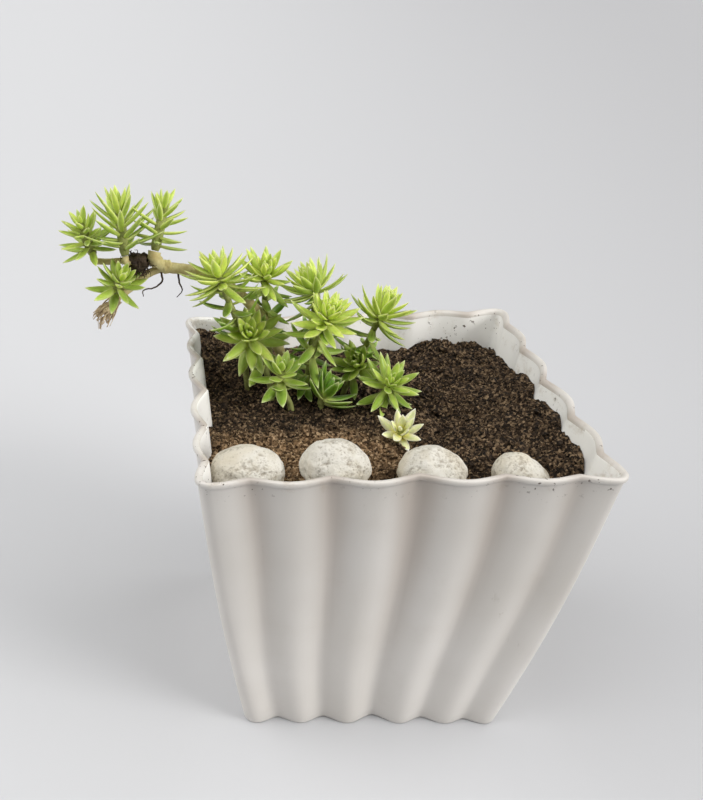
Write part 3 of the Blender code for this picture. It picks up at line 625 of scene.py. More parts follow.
def flute(share, height, half):
    """How far the wall stands in from its round ridges, at a share of the way along a side."""
    here = min(1.0, max(0.0, share + FLUTE_SWAY * math.sin(2 * math.pi * height / POT_HEIGHT) / (2 * half)))
    for start, end in zip(RIDGE_PLACES, RIDGE_PLACES[1:]):
        if start <= here:
            phase = (here - start) / (end - start)
            step = (end - start) / RIDGE_STEP
    depth = FLUTE_DEPTH_BASE + (FLUTE_DEPTH_RIM - FLUTE_DEPTH_BASE) * height / POT_HEIGHT
    soft = 0.5 - 0.5 * math.cos(2 * math.pi * phase)
    sharp = 1 - abs(math.cos(math.pi * phase))
    sharpness = SHARPNESS_BASE + (SHARPNESS_RIM - SHARPNESS_BASE) * height / POT_HEIGHT
    return depth * step**2 * (soft + (sharp - soft) * sharpness)


def base_shift(x, height):
    """How far forward the skewed base has moved at a height."""
    return (1 - height / POT_HEIGHT) * (BASE_SKEW * x + BASE_FORWARD)


def flute_beside(x, y, height):
    """How far the wall nearest to a point stands in from its ridges there."""
    half = half_side(height)
    if abs(y) >= abs(x):
        place = x if y < 0 else -x
    else:
        place = y if x > 0 else -y
    share = min(1.0, max(0.0, 0.5 * (place / (half - CORNER_RADIUS) + 1)))
    return flute(share, height, half)


def warped(x, y, height):
    """A point of the pot moved as its plastic has warped: base skewed, right back corner lifted."""
    t = height / POT_HEIGHT
    across = 2 * x / RIM_SIDE
    back = 0.5 + y / RIM_SIDE
    moved_x = x + t * RIM_WIDER * (0.5 + 0.5 * across) ** 2
    moved_y = y - base_shift(x, height) + t * RIM_SKEW * across * back
    return Vector((moved_x, moved_y, height + RIM_LIFT * t**4 * across * back))


def pot_ring(height, inset):
    """The pot's fluted outline at a height, moved in by an inset."""
    half = half_side(height)
    straight = half - CORNER_RADIUS
    shares = []
    for start, end in zip(RIDGE_PLACES, RIDGE_PLACES[1:]):
        shares += [start + (end - start) * k / POINTS_PER_FLUTE for k in range(POINTS_PER_FLUTE)]
    shares.append(1.0)
    ring = []
    for turn in range(4):
        side = [(straight * (2 * share - 1), flute(share, height, half) + inset - half)
                for share in shares]
        for step in range(1, CORNER_POINTS + 1):
            angle = math.radians(90 * step / (CORNER_POINTS + 1) - 90)
            radius = CORNER_RADIUS - inset
            side.append((straight + radius * math.cos(angle), radius * math.sin(angle) - straight))
        quarter = Matrix.Rotation(math.radians(90 * turn), 3, "Z")
        ring += [warped(*(quarter @ Vector((x, y, height)))) for x, y in side]
    return ring


def make_pot(outer, inner):
    """The fluted pot with its rolled lip, open at the top, and four drain holes."""
    levels = [(0.0, 0.8 * MM), (0.35 * MM, 0.3 * MM), (WALL_FOOT, 0.0)]
    levels += [(WALL_FOOT + WALL_RISE * k / WALL_LEVELS, 0.0) for k in range(1, WALL_LEVELS)]
    levels += [(POT_HEIGHT + rise * MM, inset * MM) for rise, inset in LIP]
    levels += [(WALL + WALL_RISE * k / WALL_LEVELS, WALL) for k in range(WALL_LEVELS - 1, 0, -1)]
    levels += [(WALL + 0.6 * MM, WALL), (WALL, WALL + 0.5 * MM)]
    pot = drawn_skin("pot_fluted", [pot_ring(*level) for level in levels])
    for turn in range(4):
        angle = math.radians(45 + 90 * turn)
        bpy.ops.object.select_all(action="DESELECT")
        bpy.ops.mesh.primitive_cylinder_add(
            vertices=32, radius=DRAIN_RADIUS, depth=4 * WALL,
            location=(DRAIN_CIRCLE * math.cos(angle), DRAIN_CIRCLE * math.sin(angle), WALL / 2))
        drill = bpy.context.object
        applied(pot, "BOOLEAN", operation="DIFFERENCE", object=drill, solver="EXACT")
        bpy.data.objects.remove(drill)
    pot.data.materials.append(outer)
    pot.data.materials.append(inner)
    for face in pot.data.polygons:
        middle = face.center
        side = max(abs(middle.x), abs(middle.y))
        towards = face.normal.x * middle.x + face.normal.y * middle.y
        if WALL / 2 < middle.z < POT_HEIGHT - 1.2 * MM and towards < 0 and side > INSIDE_FROM:
            face.material_index = 1
    # How deep each point lies in a flute's valley, growing towards the rim, for the outside's painted shade
    shade = pot.data.color_attributes.new("groove", "FLOAT_COLOR", "POINT")
    for number, vert in enumerate(pot.data.vertices):
        x, y, height = vert.co.x, vert.co.y, min(POT_HEIGHT, vert.co.z)
        deep = flute_beside(x, y + base_shift(x, height), height) / FLUTE_DEPTH_BASE
        shade.data[number].color = (min(1.0, deep) * height / POT_HEIGHT, 0.0, 0.0, 1.0)
    only(pot)
    bpy.ops.object.shade_smooth_by_angle(angle=math.radians(SMOOTH_ANGLE))
    return pot


# Soil and stones

def bump(x, y, centre, radius, height):
    """A round rise or dip in the soil."""
    away = ((x - centre[0] * MM) ** 2 + (y - centre[1] * MM) ** 2) / (radius * MM) ** 2
    return height * MM * math.exp(-away)


def soil_height(x, y):
    """The uneven top of the soil: heaped up at the right and in the back corners."""
    swell = 0.8 * MM * math.sin(x / (9 * MM) + 1.0) * math.cos(y / (7.5 * MM))
    ripple = 0.6 * MM * math.sin(x / (3.1 * MM) + y / (4.3 * MM))
    crumb = 0.4 * MM * math.sin(x / (2.2 * MM) - y / (2.0 * MM) + 2.0)
    return SOIL_LEVEL + swell + ripple + crumb + sum(bump(x, y, *rise) for rise in SOIL_RISES)


def clods(x, y):
    """Lumps and crumbs of many sizes on the soil."""
    spot = Vector((x, y, 0.0)) / MM
    big = 1.2 * noise.noise(spot * 0.13 + Vector((3, 7, 1)))
    bent = spot + 1.5 * Vector((noise.noise(spot * 0.4), noise.noise(spot * 0.4 + Vector((9, 9, 9))), 0))
    lump = 2.0 * (0.45 - noise.voronoi(bent * 0.26)[0][0])
    piece = 1.3 * (0.45 - noise.voronoi(bent * 0.62 + Vector((5, 2, 0)))[0][0])
    crumb = 0.55 * (0.45 - noise.voronoi(spot * 1.3 + Vector((2, 8, 0)))[0][0])
    return (big + lump + piece + crumb) * MM


def inner_reach(x, y, height, inset):
    """The largest share of a point's distance from the middle that stays inside the pot's wall."""
    half = half_side(height)
    straight = half - CORNER_RADIUS
    wall = half - flute_beside(x, y, height) - inset
    reach = max(abs(x), abs(y))
    over = min(abs(x), abs(y)) - straight
    if over > 0:
        radius = CORNER_RADIUS - inset
        wall = straight + math.sqrt(max(radius**2 - min(over, radius) ** 2, 0.0))
    return wall / reach if reach > 0 else 1.0


def make_soil(finish):
    """The pot's filling, its top a fine grid of clods that follows the wall."""
    bpy.ops.object.select_all(action="DESELECT")
    bpy.ops.mesh.primitive_grid_add(x_subdivisions=SOIL_CELLS, y_subdivisions=SOIL_CELLS, size=2 * SOIL_SPAN)
    soil = bpy.context.object
    soil.name = "soil_crumbly_top"
    for vert in soil.data.vertices:
        x, y = vert.co.x, vert.co.y
        base = soil_height(x, y)
        share = 1.0
        if max(abs(x), abs(y)) > MIDDLE_SPAN:
            share = min(1.0, inner_reach(x, y, base, WALL + SOIL_GAP))
        x, y = x * share, y * share
        edge = max(abs(x), abs(y)) / half_side(base)
        calm = 1.0 if edge < CALM_FROM else 0.5
        vert.co = warped(x, y, base)
        vert.co.z = min(base + calm * clods(x, y), SOIL_HIGHEST)
    bpy.ops.object.mode_set(mode="EDIT")
    bpy.ops.mesh.select_mode(type="EDGE")
    bpy.ops.mesh.select_all(action="DESELECT")
    shape = bmesh.from_edit_mesh(soil.data)
    for edge in shape.edges:
        edge.select_set(edge.is_boundary)
    above = SOIL_LEVEL
    for height in SKIRT_HEIGHTS:
        bpy.ops.mesh.extrude_region_move()
        shape = bmesh.from_edit_mesh(soil.data)
        for vert in shape.verts:
            if vert.select:
                x, y = vert.co.x, vert.co.y + base_shift(vert.co.x, above)
                share = min(1.0, inner_reach(x, y, height, WALL + SKIRT_GAP))
                vert.co = Vector((x * share, y * share - base_shift(x * share, height), height))
        bmesh.update_edit_mesh(soil.data)
        above = height
    bpy.ops.mesh.edge_face_add()
    bpy.ops.mesh.select_all(action="SELECT")
    bpy.ops.mesh.normals_make_consistent(inside=False)
    bpy.ops.object.mode_set(mode="OBJECT")
    bpy.ops.object.shade_smooth()
    soil.data.materials.append(finish)
    return soil


def crumb_shapes(fineness):
    """A few lumps of soil, each a ball pushed out of round."""
    shapes = []
    for number in range(CRUMB_KINDS):
        bpy.ops.object.select_all(action="DESELECT")
        bpy.ops.mesh.primitive_ico_sphere_add(subdivisions=fineness, radius=1.0)
        lump = bpy.context.object
        bpy.ops.object.mode_set(mode="EDIT")
        bpy.ops.mesh.select_all(action="SELECT")
        bpy.ops.transform.resize(value=(1.0, 0.75 + 0.06 * number, 0.7))
        bpy.ops.object.mode_set(mode="OBJECT")
        for vert in lump.data.vertices:
            vert.co *= 1 + 0.6 * noise.noise(vert.co * 1.7 + Vector((number * 5.0, 0, 0)))
        shapes.append(lump)
    return shapes


def crumb_spots(count, sizes, seed):
    """Places, sizes and turns for loose crumbs all over the soil, thick in some parts and thin in others."""
    draw = random.Random(seed)
    spots = []
    while len(spots) < count:
        x, y = [draw.uniform(-CRUMB_REACH, CRUMB_REACH) * MM for _ in range(2)]
        if noise.noise(Vector((x, y, seed * MM)) / MM * 0.11) < draw.uniform(-0.7, 0.1):
            continue
        base = soil_height(x, y)
        size = (sizes[0] + (sizes[1] - sizes[0]) * draw.random() ** 2.5) * MM
        if inner_reach(x, y, base, WALL + 0.6 * MM + size) < 1 or on_stone(x, y, 0.4 * MM):
            continue
        place = warped(x, y, base)
        place.z = min(base + clods(x, y) + draw.uniform(-0.2, 0.5) * size, CRUMB_HIGHEST)
        pole = Vector((draw.uniform(-1, 1), draw.uniform(-1, 1), 1))
        spots.append((place, size, Matrix.Rotation(draw.uniform(0, 6.28), 3, pole)))
    return spots


def make_crumbs(name, finish, fineness, spots):
    """Loose crumbs of soil, each a turned copy of one of a few lumps."""
    shapes = crumb_shapes(fineness)
    heaps = []
    for number, shape in enumerate(shapes):
        mesh = shape.data
        mine = spots[number::len(shapes)]
        heap = bmesh.new()
        for _ in mine:
            heap.from_mesh(mesh)
        heap.verts.ensure_lookup_table()
        each = len(mesh.vertices)
        for index, vert in enumerate(heap.verts):
            place, size, turn = mine[index // each]
            vert.co = turn @ vert.co * size + place
        pile = bpy.data.meshes.new(name)
        heap.to_mesh(pile)
        heap.free()
        item = bpy.data.objects.new(name, pile)
        bpy.context.scene.collection.objects.link(item)
        heaps.append(item)
        bpy.data.objects.remove(shape)
    return joined(heaps, name, finish)


def on_stone(x, y, room):
    """Whether a place lies under a stone."""
    for stone_x, wide, deep, height, seed, slope in STONES.values():
        if ((x - stone_x) / (wide / 2 + room)) ** 2 + ((y - STONE_Y) / (deep / 2 + room)) ** 2 < 1:
            return True
    return False


def pores(p, seed):
    """How deep the stone's skin is pitted at a point, and how dark the dirt is there."""
    sway = Vector((noise.noise(p * 5), noise.noise(p * 5 + Vector((5, 0, 0))), noise.noise(p * 5.4)))
    bent = p + 0.14 * sway
    patch = min(1.0, max(0.05, 0.62 + 1.3 * noise.noise(bent * 1.7 + Vector((seed, seed, 0)))))
    depth = dirt = 0.0
    for scale, edge, deep in PORES:
        near = noise.voronoi(bent * scale + Vector((0, 0, seed)))[0][0]
        hole = max(0.0, 1 - near / (edge * patch))
        depth += deep * hole**0.6
        dirt = max(dirt, hole**0.7)
    return depth, dirt


def make_stone(name, spec, finish):
    """A rounded stone, lumpy and full of pores."""
    x, wide, deep, height, seed, slope = spec
    bpy.ops.object.select_all(action="DESELECT")
    bpy.ops.mesh.primitive_ico_sphere_add(subdivisions=6, radius=1.0)
    stone = bpy.context.object
    stone.name = name + "_porous"
    shade = stone.data.color_attributes.new("pits", "FLOAT_COLOR", "POINT")
    for number, vert in enumerate(stone.data.vertices):
        p = vert.co.copy()
        lump = 1 + 0.05 * math.sin(2.3 * p.x + seed) + 0.045 * math.cos(3.1 * p.y - seed + 1.7 * p.z)
        lump += 0.055 * noise.noise(p * 1.9 + Vector((seed, 0, 0)))
        lump += 0.030 * noise.noise(p * 4.5 + Vector((0, seed, 0)))
        pit, dirt = pores(p, seed)
        lump -= pit
        flat = (1 if p.z > 0 else 0.85) * (1 - slope * p.x)
        vert.co = Vector((x + p.x * lump * wide / 2, STONE_Y + p.y * lump * deep / 2,
                          height + p.z * flat * lump * STONE_HEIGHT / 2))
        shade.data[number].color = (dirt, 0.0, 0.0, 1.0)
    only(stone)
    bpy.ops.object.shade_smooth()
    stone.data.materials.append(finish)
    return stone


# Leaves

def shoot_axes(spec):
    """The shoot's own directions: two across and one along its axis."""
    lean = math.radians(spec["lean"])
    to = math.radians(spec["to"])
    along = Vector((math.sin(lean) * math.cos(to), math.sin(lean) * math.sin(to), math.cos(lean)))
    across = Vector((0, 1, 0)).cross(along).normalized()
    return across, along.cross(across), along


def down_the_stem(name, spec, away):
    """The point of the shoot's stem this far below its leafy part."""
    route = stem_route(name, spec)[::-1]
    for here, there in zip(route, route[1:]):
        step = (there - here).length
        if away < step:
            return here + (there - here) * away / step
        away -= step
    return route[-1]


def leaf_plan(name, spec):
    """Every leaf of a shoot: its start, turn, rise, length, roll, width share and age."""
    draw = random.Random(spec["seed"])
    along = shoot_axes(spec)[2]
    start = mm(spec["at"])
    long = spec["long"] * MM
    plans = []
    count = round(spec["leaves"] * spec["more"])
    for i in range(count):
        inner = i / (count - 1)
        plans.append(dict(start=start + along * MM * spec["climb"] * inner,
                          turn=spec["turn"] + i * GOLDEN_ANGLE + draw.uniform(-11, 11),
                          rise=spec["low"] + (spec["high"] - spec["low"]) * inner**1.2 + draw.uniform(-8, 8),
                          length=long * (1 - 0.38 * inner**1.8) * (1 + draw.uniform(-0.12, 0.1)),
                          roll=14 * draw.uniform(-1, 1), inner=inner, wide=1 - 0.12 * inner))
    for i in range(spec["heart"]):
        inner = (i + 1) / spec["heart"]
        plans.append(dict(start=start + along * MM * (spec["climb"] + 0.4 + 1.4 * inner),
                          turn=spec["turn"] + (count + i) * GOLDEN_ANGLE + draw.uniform(-14, 14),
                          rise=spec["high"] + (UPRIGHT - spec["high"]) * inner + draw.uniform(-5, 5),
                          length=long * (0.60 - 0.3 * inner), roll=8 * draw.uniform(-1, 1),
                          inner=1.0, wide=0.85 - 0.3 * inner))
    # The leaves further down the stem get a negative inner share and so the old, dark colour: partly for
    # their age, partly as painted shade under the heads
    for i in range(spec["below"]):
        plans.append(dict(start=down_the_stem(name, spec, SIDE_STEP * (0.6 + i)),
                          turn=spec["turn"] + (i - 5) * GOLDEN_ANGLE + draw.uniform(-15, 15),
                          rise=draw.uniform(-30, 30), length=long * draw.uniform(0.75, 1.0),
                          roll=14 * draw.uniform(-1, 1), inner=-0.5 - 0.07 * i, wide=0.95))
    return plans


def leaf_frame(spec, plan, t):
    """The leaf's midline point, its side direction and its upper face's direction at t."""
    across, beside, along = shoot_axes(spec)
    turn = math.radians(plan["turn"])
    out = math.cos(turn) * across + math.sin(turn) * beside
    curl = spec["curl"] * (1 - 0.5 * max(0.0, plan["inner"]))
    mean = math.radians(plan["rise"] + curl * (t / 2 - 0.4))
    here = math.radians(plan["rise"] + curl * (t - 0.4))
    point = (plan["start"] + out * LEAF_SINK
             + plan["length"] * t * (math.cos(mean) * out + math.sin(mean) * along))
    side = along.cross(out)
    up = math.cos(here) * along - math.sin(here) * out
    roll = math.radians(plan["roll"])
    return point, math.cos(roll) * side + math.sin(roll) * up, math.cos(roll) * up - math.sin(roll) * side


def leaf_shape():
    """One plump leaf, 1 long and 1 wide: a lens drawn out from its foot to its point."""
    rings = [[Vector((x * wide / 2, t, z * thick)) for x, z in LEAF_SECTION]
             for t, wide, thick in LEAF_STATIONS]
    leaf = drawn_skin("leaf", rings)
    only(leaf)
    bpy.ops.object.mode_set(mode="EDIT")
    bpy.ops.mesh.select_all(action="DESELECT")
    shape = bmesh.from_edit_mesh(leaf.data)
    last = max(shape.faces, key=lambda face: face.calc_center_median().y)
    last.select_set(True)
    bpy.ops.mesh.extrude_region_move(TRANSFORM_OT_translate={"value": (0, 0.04, 0)})
    bpy.ops.transform.resize(value=(0.25, 1.0, 0.3))
    bpy.ops.object.mode_set(mode="OBJECT")
    layer = leaf.data.uv_layers.new(name="leaf")
    for loop in leaf.data.loops:
        co = leaf.data.vertices[loop.vertex_index].co
        widest = max(0.04, max(abs(v.co.x) for v in leaf.data.vertices if abs(v.co.y - co.y) < 1e-4))
        layer.data[loop.index].uv = (0.5 + 0.5 * co.x / widest, co.y)
    leaf.data.color_attributes.new("tint", "FLOAT_COLOR", "POINT")
    return leaf


def leaf_samples(spec, plan):
    """Points over the leaf's blade, for keeping it clear of other pieces."""
    points = []
    half = 0.5 * spec["wide"] * plan["wide"] * MM
    for t in (0.15, 0.3, 0.45, 0.6, 0.75, 0.9, 1.0):
        point, side, up = leaf_frame(spec, plan, t)
        wide = half * (1 - t**3)
        points += [point - side * wide, point, point + side * wide]
    return points


def ground_is_clear(points):
    """Whether points stay above the soil and outside the stones and the pot's wall."""
    for x, y, z in points:
        if z < POT_HEIGHT + RIM_CLEAR and max(abs(x), abs(y)) > half_side(POT_HEIGHT) - 8 * MM:
            return False
        if z < POT_HEIGHT and z < soil_height(x, y) + SOIL_CLEAR and max(abs(x), abs(y)) < SOIL_EDGE:
            return False
        for stone_x, wide, deep, height, seed, slope in STONES.values():
            away = (((x - stone_x) / (wide / 2)) ** 2 + ((y - STONE_Y) / (deep / 2)) ** 2
                    + ((z - height) / (STONE_HEIGHT / 2)) ** 2)
            if away < STONE_CLEAR:
                return False
    return True


class Taken:
    """The space that leaves and stems already fill, by the shoot that they belong to."""

    def __init__(self):
        self.points = []

    def add(self, owner, points, reach):
        """Takes up the space within a reach of some points."""
        self.points += [(point, owner, reach) for point in points]

    def sort(self):
        """Sorts what was added, so that it can be looked up."""
        self.tree = KDTree(len(self.points))
        for number, (point, owner, reach) in enumerate(self.points):
            self.tree.insert(point, number)
        self.tree.balance()

    def is_clear(self, owner, points):
        """Whether points keep away from what belongs to other shoots."""
        for point in points:
            for place, number, away in self.tree.find_range(point, 4 * MM):
                other, reach = self.points[number][1:]
                if other != owner and away < reach:
                    return False
        return True


def bent_clear(name, spec, plan, taken):
    """The leaf turned, raised or shortened by the least that keeps it clear, or None."""
    for length in SHORTER:
        for rise, turn in TURNED:
            tried = dict(plan, rise=plan["rise"] + rise, turn=plan["turn"] + turn,
                         length=plan["length"] * length)
            points = leaf_samples(spec, tried)
            if ground_is_clear(points) and taken.is_clear(name, points):
                return tried, points
    return None


def stem_route(name, spec):
    """A shoot's stem, from under the soil to its leafy part."""
    along = shoot_axes(spec)[2]
    start = mm(spec["at"])
    if name not in STEM_ROUTES:
        return [start, start + along * MM]
    foot, *passed = STEM_ROUTES[name]
    x, y = foot[0] * MM, foot[1] * MM
    ground = soil_height(x, y)
    points = [Vector((x, y, ground - STEM_DEPTH)), Vector((x, y, ground))]
    points += [mm(point) for point in passed] + [start]
    return smooth_route(points, 5)


def core_route(spec):
    """The leafy part's own short axis."""
    along = shoot_axes(spec)[2]
    start = mm(spec["at"])
    top = spec["climb"] * MM + 1.6 * MM
    return [start - along * CORE_FOOT, start, start + along * top * 0.5, start + along * top]


def twig_route(name, steps):
    """A twig's points, ending flat under the shoot that it carries."""
    along = shoot_axes(SHOOTS[name])[2]
    end = mm(SHOOTS[name]["at"]) - along * (CORE_FOOT + 0.3 * MM)
    return smooth_route([mm(p) for p in TWIGS[name][0]] + [end - along * TWIG_END * MM], steps) + [end]


def place_leaves():
    """All leaves of all shoots, each clear of the other shoots, the stems and the ground."""
    taken = Taken()
    for name, (passed, radius) in TWIGS.items():
        taken.add("long_stem", twig_route(name, 6), radius * MM + 0.9 * MM)
    for root in HANGING_ROOTS + [root for root, radius in PALE_ROOTS]:
        taken.add("long_stem", smooth_route([mm(p) for p in root], 4), 1.9 * MM)
    for name, spec in SHOOTS.items():
        taken.add(name, stem_route(name, spec), SHOOT_STEM + 1.0 * MM)
        taken.add(name, smooth_route(core_route(spec), 4), 2.6 * MM)
    taken.sort()
    leaves = {}
    for name, spec in SHOOTS.items():
        leaves[name] = []
        for plan in leaf_plan(name, spec):
            found = bent_clear(name, spec, plan, taken)
            if found:
                leaves[name].append(found[0])
                taken.add(name, found[1], LEAF_CLEAR + 0.6 * MM)
        taken.sort()
    return leaves


def lay_leaf(shape, spec, plan, draw, finish):
    """A copy of the leaf, bent and laid where its plan says."""
    mesh = shape.data.copy()
    mesh.materials.append(finish)
    wide = spec["wide"] * plan["wide"] * MM * draw.uniform(0.94, 1.06)
    thick = LEAF_THICK * (0.75 + 0.25 * plan["wide"])
    twist = draw.uniform(-8, 8)
    for vert in mesh.vertices:
        point, side, up = leaf_frame(spec, plan, vert.co.y)
        turn = math.radians(twist * vert.co.y)
        edge = side * math.cos(turn) + up * math.sin(turn)
        face = up * math.cos(turn) - side * math.sin(turn)
        vert.co = point + edge * vert.co.x * wide + face * vert.co.z * thick
    # How old the leaf looks; the leaves further down are darkened partly as painted shade
    age_and_shade = min(1.0, max(0.0, spec["young"] * (0.75 + 0.5 * plan["inner"]) + draw.uniform(-0.1, 0.1)))
    tone = draw.random()
    for colour in mesh.color_attributes["tint"].data:
        colour.color = (age_and_shade, tone, 0.0, 1.0)
    leaf = bpy.data.objects.new("leaf", mesh)
    bpy.context.scene.collection.objects.link(leaf)
    return leaf


def make_shoot(name, spec, leaves, shape, leaf_finish, stem_finish):
    """One leafy shoot: its stem, its core and its leaves."""
    draw = random.Random(spec["seed"] + 100)
    core = smooth_route(core_route(spec), 3)
    radii = []
    for number in range(len(core)):
        t = 3 * number / (len(core) - 1)
        low = min(int(t), 2)
        radii.append(CORE_RADII[low] + (CORE_RADII[low + 1] - CORE_RADII[low]) * (t - low))
    stems = [drawn_skin(name + "_core", tube_rings(core, radii, 10, 0.1))]
    if name in STEM_ROUTES:
        route = stem_route(name, spec)
        rings = tube_rings(route, [SHOOT_STEM] * len(route), 10, 0.15, spec["seed"])
        stems.append(drawn_skin(name + "_stem", rings))
    stem = joined(stems, name + "_stem", leaf_finish, stem_finish)
    for face in stem.data.polygons:
        face.material_index = 1
    stem.data.uv_layers.new(name="leaf")
    stem.data.color_attributes.new("tint", "FLOAT_COLOR", "POINT")
    laid = [lay_leaf(shape, spec, plan, draw, leaf_finish) for plan in leaves]
    return joined([stem] + laid, name + "_leafy")


def make_long_stem(finish):
    """The bare trailing stem with ringed scars, its twigs and its knobs."""
    pieces = []
    for name, (passed, radius) in TWIGS.items():
        route = twig_route(name, 10)
        radii = []
        for number in range(len(route)):
            swell = 1.0
            if name == "shoot_far_right":
                swell = 1.0 + 0.13 * max(0.0, math.cos(number * 0.62)) ** 8
            radii.append(radius * MM * swell)
        pieces.append(drawn_skin(name + "_twig", tube_rings(route, radii, 14, 0.10, radius)))
    for x, y, z, radius in KNOBS:
        bpy.ops.object.select_all(action="DESELECT")
        bpy.ops.mesh.primitive_ico_sphere_add(subdivisions=4, radius=radius * MM)
        knob = bpy.context.object
        for vert in knob.data.vertices:
            wobble = 1 + 0.16 * noise.noise(vert.co / MM * 0.8) + 0.06 * noise.noise(vert.co / MM * 2.2)
            vert.co = vert.co * wobble + mm((x, y, z))
        knob.location = (0, 0, 0)
        bpy.ops.object.shade_smooth()
        pieces.append(knob)
    return joined(pieces, "long_stem_bark", finish)


def strand(points, radius, seed, steps=4, sides=6):
    """A thin root that tapers and wavers."""
    route = smooth_route(points, steps)
    draw = random.Random(seed)
    for number in range(1, len(route) - 1):
        route[number] = route[number] + drift(draw, 0.12) * MM
    radii = [radius * (1 - 0.6 * k / (len(route) - 1)) for k in range(len(route))]
    return drawn_skin("root", tube_rings(route, radii, sides, 0.2, seed))


def make_hanging_roots(finish):
    """Thin dark roots that hang from the long stem."""
    roots = [strand([mm(p) for p in root], 0.42 * MM, number) for number, root in enumerate(HANGING_ROOTS)]
    return joined(roots, "hanging_roots", finish)


def make_pale_roots(finish):
    """The bunch of pale roots under the lowest far shoot: a few thick ones wrapped in many fine ones."""
    draw = random.Random(5)
    roots = []
    for number, (root, radius) in enumerate(PALE_ROOTS):
        roots.append(strand([mm(p) for p in root], radius * MM, number + 20, 6, 12))
        for extra in range(20 if radius > 1 else 2):
            shift = drift(draw, 1.0) * radius
            moved = [mm(Vector(p) + shift * (0.75 + 0.35 * k) + drift(draw, 0.5))
                     for k, p in enumerate(root)]
            roots.append(strand(moved, draw.uniform(0.18, 0.5) * MM, number * 9 + extra, 5, 6))
    return joined(roots, "pale_root_bunch", finish)


def make_dark_roots(finish):
    """The clot of dark roots round a twig: a lump under a tangle of fine roots."""
    draw = random.Random(9)
    centre, sizes = DARK_LUMP
    bpy.ops.object.select_all(action="DESELECT")
    bpy.ops.mesh.primitive_ico_sphere_add(subdivisions=4, radius=1.0)
    lump = bpy.context.object
    for vert in lump.data.vertices:
        p = vert.co.copy()
        boxy = 1 / max(abs(p.x), abs(p.y), abs(p.z)) ** 0.4
        wobble = 0.84 * boxy + 0.25 * noise.noise(p * 2.0) + 0.15 * noise.noise(p * 6.0)
        vert.co = mm(Vector([c + v * r * wobble for c, v, r in zip(centre, p, sizes)]))
    bpy.ops.object.shade_smooth()
    pieces = [lump]
    for number in range(70):
        way = drift(draw, 1).normalized()
        start = Vector([c + v * r * 0.75 for c, v, r in zip(centre, way, sizes)])
        points = [start]
        for _ in range(3):
            way = (way * 0.5 + drift(draw, 1) + Vector((0, 0, -0.35))).normalized()
            points.append(points[-1] + way * draw.uniform(1.1, 2.2))
        inside = []
        for point in points:
            spot = []
            for along, middle, size in zip(point, centre, sizes):
                share = max(-ROOT_REACH, min(ROOT_REACH, (along - middle) / size))
                spot.append(middle + share * size)
            inside.append(mm(spot))
        pieces.append(strand(inside, draw.uniform(0.16, 0.3) * MM, number, 3, 5))
    return joined(pieces, "dark_root_clot", finish)


# Floor, light and camera

def add_sun(name, towards, energy, spread, colour):
    """A soft light from one direction."""
    lamp = bpy.data.lights.new(name, "SUN")
    lamp.energy = energy
    lamp.angle = math.radians(spread)
    lamp.color = colour
    sun = bpy.data.objects.new(name, lamp)
    bpy.context.scene.collection.objects.link(sun)
    sun.rotation_euler = (-Vector(towards)).to_track_quat("-Z", "Y").to_euler()


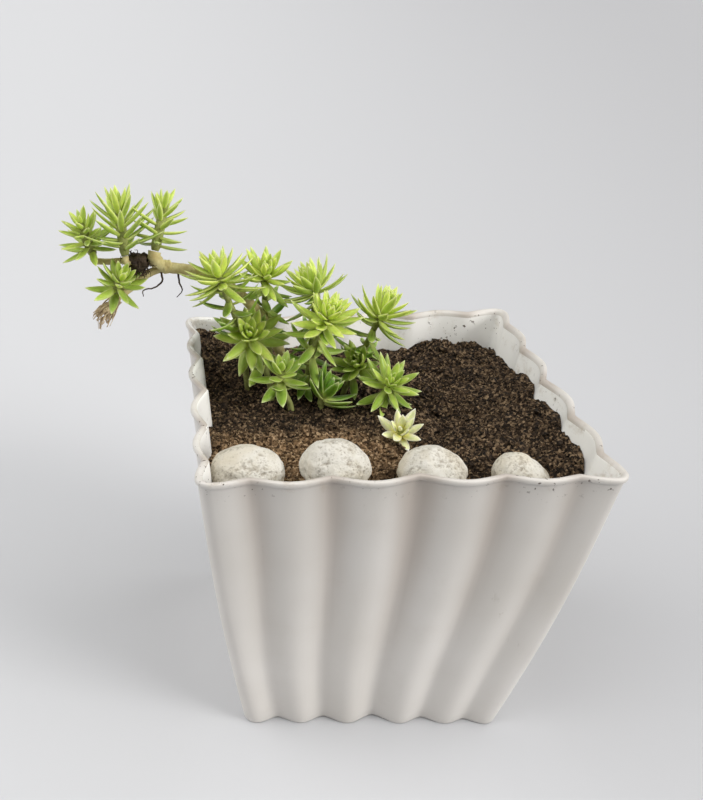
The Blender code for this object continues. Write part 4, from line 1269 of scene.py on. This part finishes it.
def make_studio():
    """A pale floor with painted shade towards the right, soft light from above at both sides and a lower one
    from the front right.
    """
    bpy.ops.object.select_all(action="DESELECT")
    bpy.ops.mesh.primitive_plane_add(size=1, location=(0, 2.72, -0.0001))
    floor = bpy.context.object
    floor.name = "floor"
    bpy.ops.object.mode_set(mode="EDIT")
    bpy.ops.transform.resize(value=(7, 5.96, 1))
    bpy.ops.object.mode_set(mode="OBJECT")
    pale, shader, add = new_material("floor_pale", 0.85, 0.1)
    where = places(add)
    # Painted shade: the floor darkens towards the right, where the light falls off
    back = plus(add, times(add, axis(add, where, "Y"), 0.55), 2.4)
    shade = grey_ramp(add, maths(add, "DIVIDE", axis(add, where, "X"), back), -0.25, 0.60)
    link(pale, mixed(add, shade, *FLOOR_LIT_AND_SHADED), shader.inputs["Base Color"])
    floor.data.materials.append(pale)
    for name, values in SUNS.items():
        add_sun(name, *values)
    world = bpy.data.worlds.new("surround")
    bpy.context.scene.world = world
    world.use_nodes = True
    sky = world.node_tree.nodes["Background"]
    sky.inputs["Color"].default_value = SKY_COLOUR
    sky.inputs["Strength"].default_value = SKY_STRENGTH
    bpy.context.scene.view_settings.view_transform = "Standard"


def make_camera():
    """A camera at the photograph's viewing angle."""
    lens = bpy.data.cameras.new("camera")
    lens.lens = LENS
    lens.sensor_width = SENSOR
    lens.sensor_fit = "AUTO"
    lens.shift_x = LENS_SHIFT
    lens.clip_start = 0.01
    camera = bpy.data.objects.new("camera", lens)
    bpy.context.scene.collection.objects.link(camera)
    sides = Matrix((Vector(CAMERA_RIGHT), Vector(CAMERA_UP), -Vector(CAMERA_AHEAD)))
    camera.matrix_world = Matrix.Translation(CAMERA_PLACE) @ sides.transposed().to_4x4()
    bpy.context.scene.camera = camera


def settle(item, slot, *nodes):
    """The piece rides with the part and stands for its nodes; its slot is not used."""
    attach(item, "root")
    if nodes:
        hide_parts(*nodes)


def main():
    """Makes every piece."""
    make_camera()
    make_studio()
    settle(make_pot(pot_material("pot_outside", False), pot_material("pot_inside_lit", True)),
           "pot_white", "pot")
    earth = soil_material()
    settle(make_soil(earth), "soil_brown", "soil")
    for name, (fineness, count, sizes, seed) in CRUMBS.items():
        settle(make_crumbs(name, earth, fineness, crumb_spots(count, sizes, seed)), "soil_brown")
    chalky = stone_material()
    for name, spec in STONES.items():
        settle(make_stone(name, spec, chalky), "stone_pale", name)
    green = leaf_material("leaf_fresh", *LEAF_FRESH)
    pale = leaf_material("leaf_cream", *LEAF_CREAM)
    olive, tan, umber, straw = [bark_material(name, *values) for name, values in BARKS.items()]
    shape = leaf_shape()
    leaves = place_leaves()
    for name, spec in SHOOTS.items():
        finish = pale if name == "shoot_pale" else green
        slot = "leaf_pale" if name == "shoot_pale" else "leaf_green"
        settle(make_shoot(name, spec, leaves[name], shape, finish, olive), slot, name)
    bpy.data.objects.remove(shape)
    settle(make_long_stem(tan), "stem_tan", "long_stem")
    settle(make_hanging_roots(umber), "stem_tan")
    settle(make_pale_roots(straw), "stem_tan")
    settle(make_dark_roots(umber), "root_dark", "dark_roots")


main()
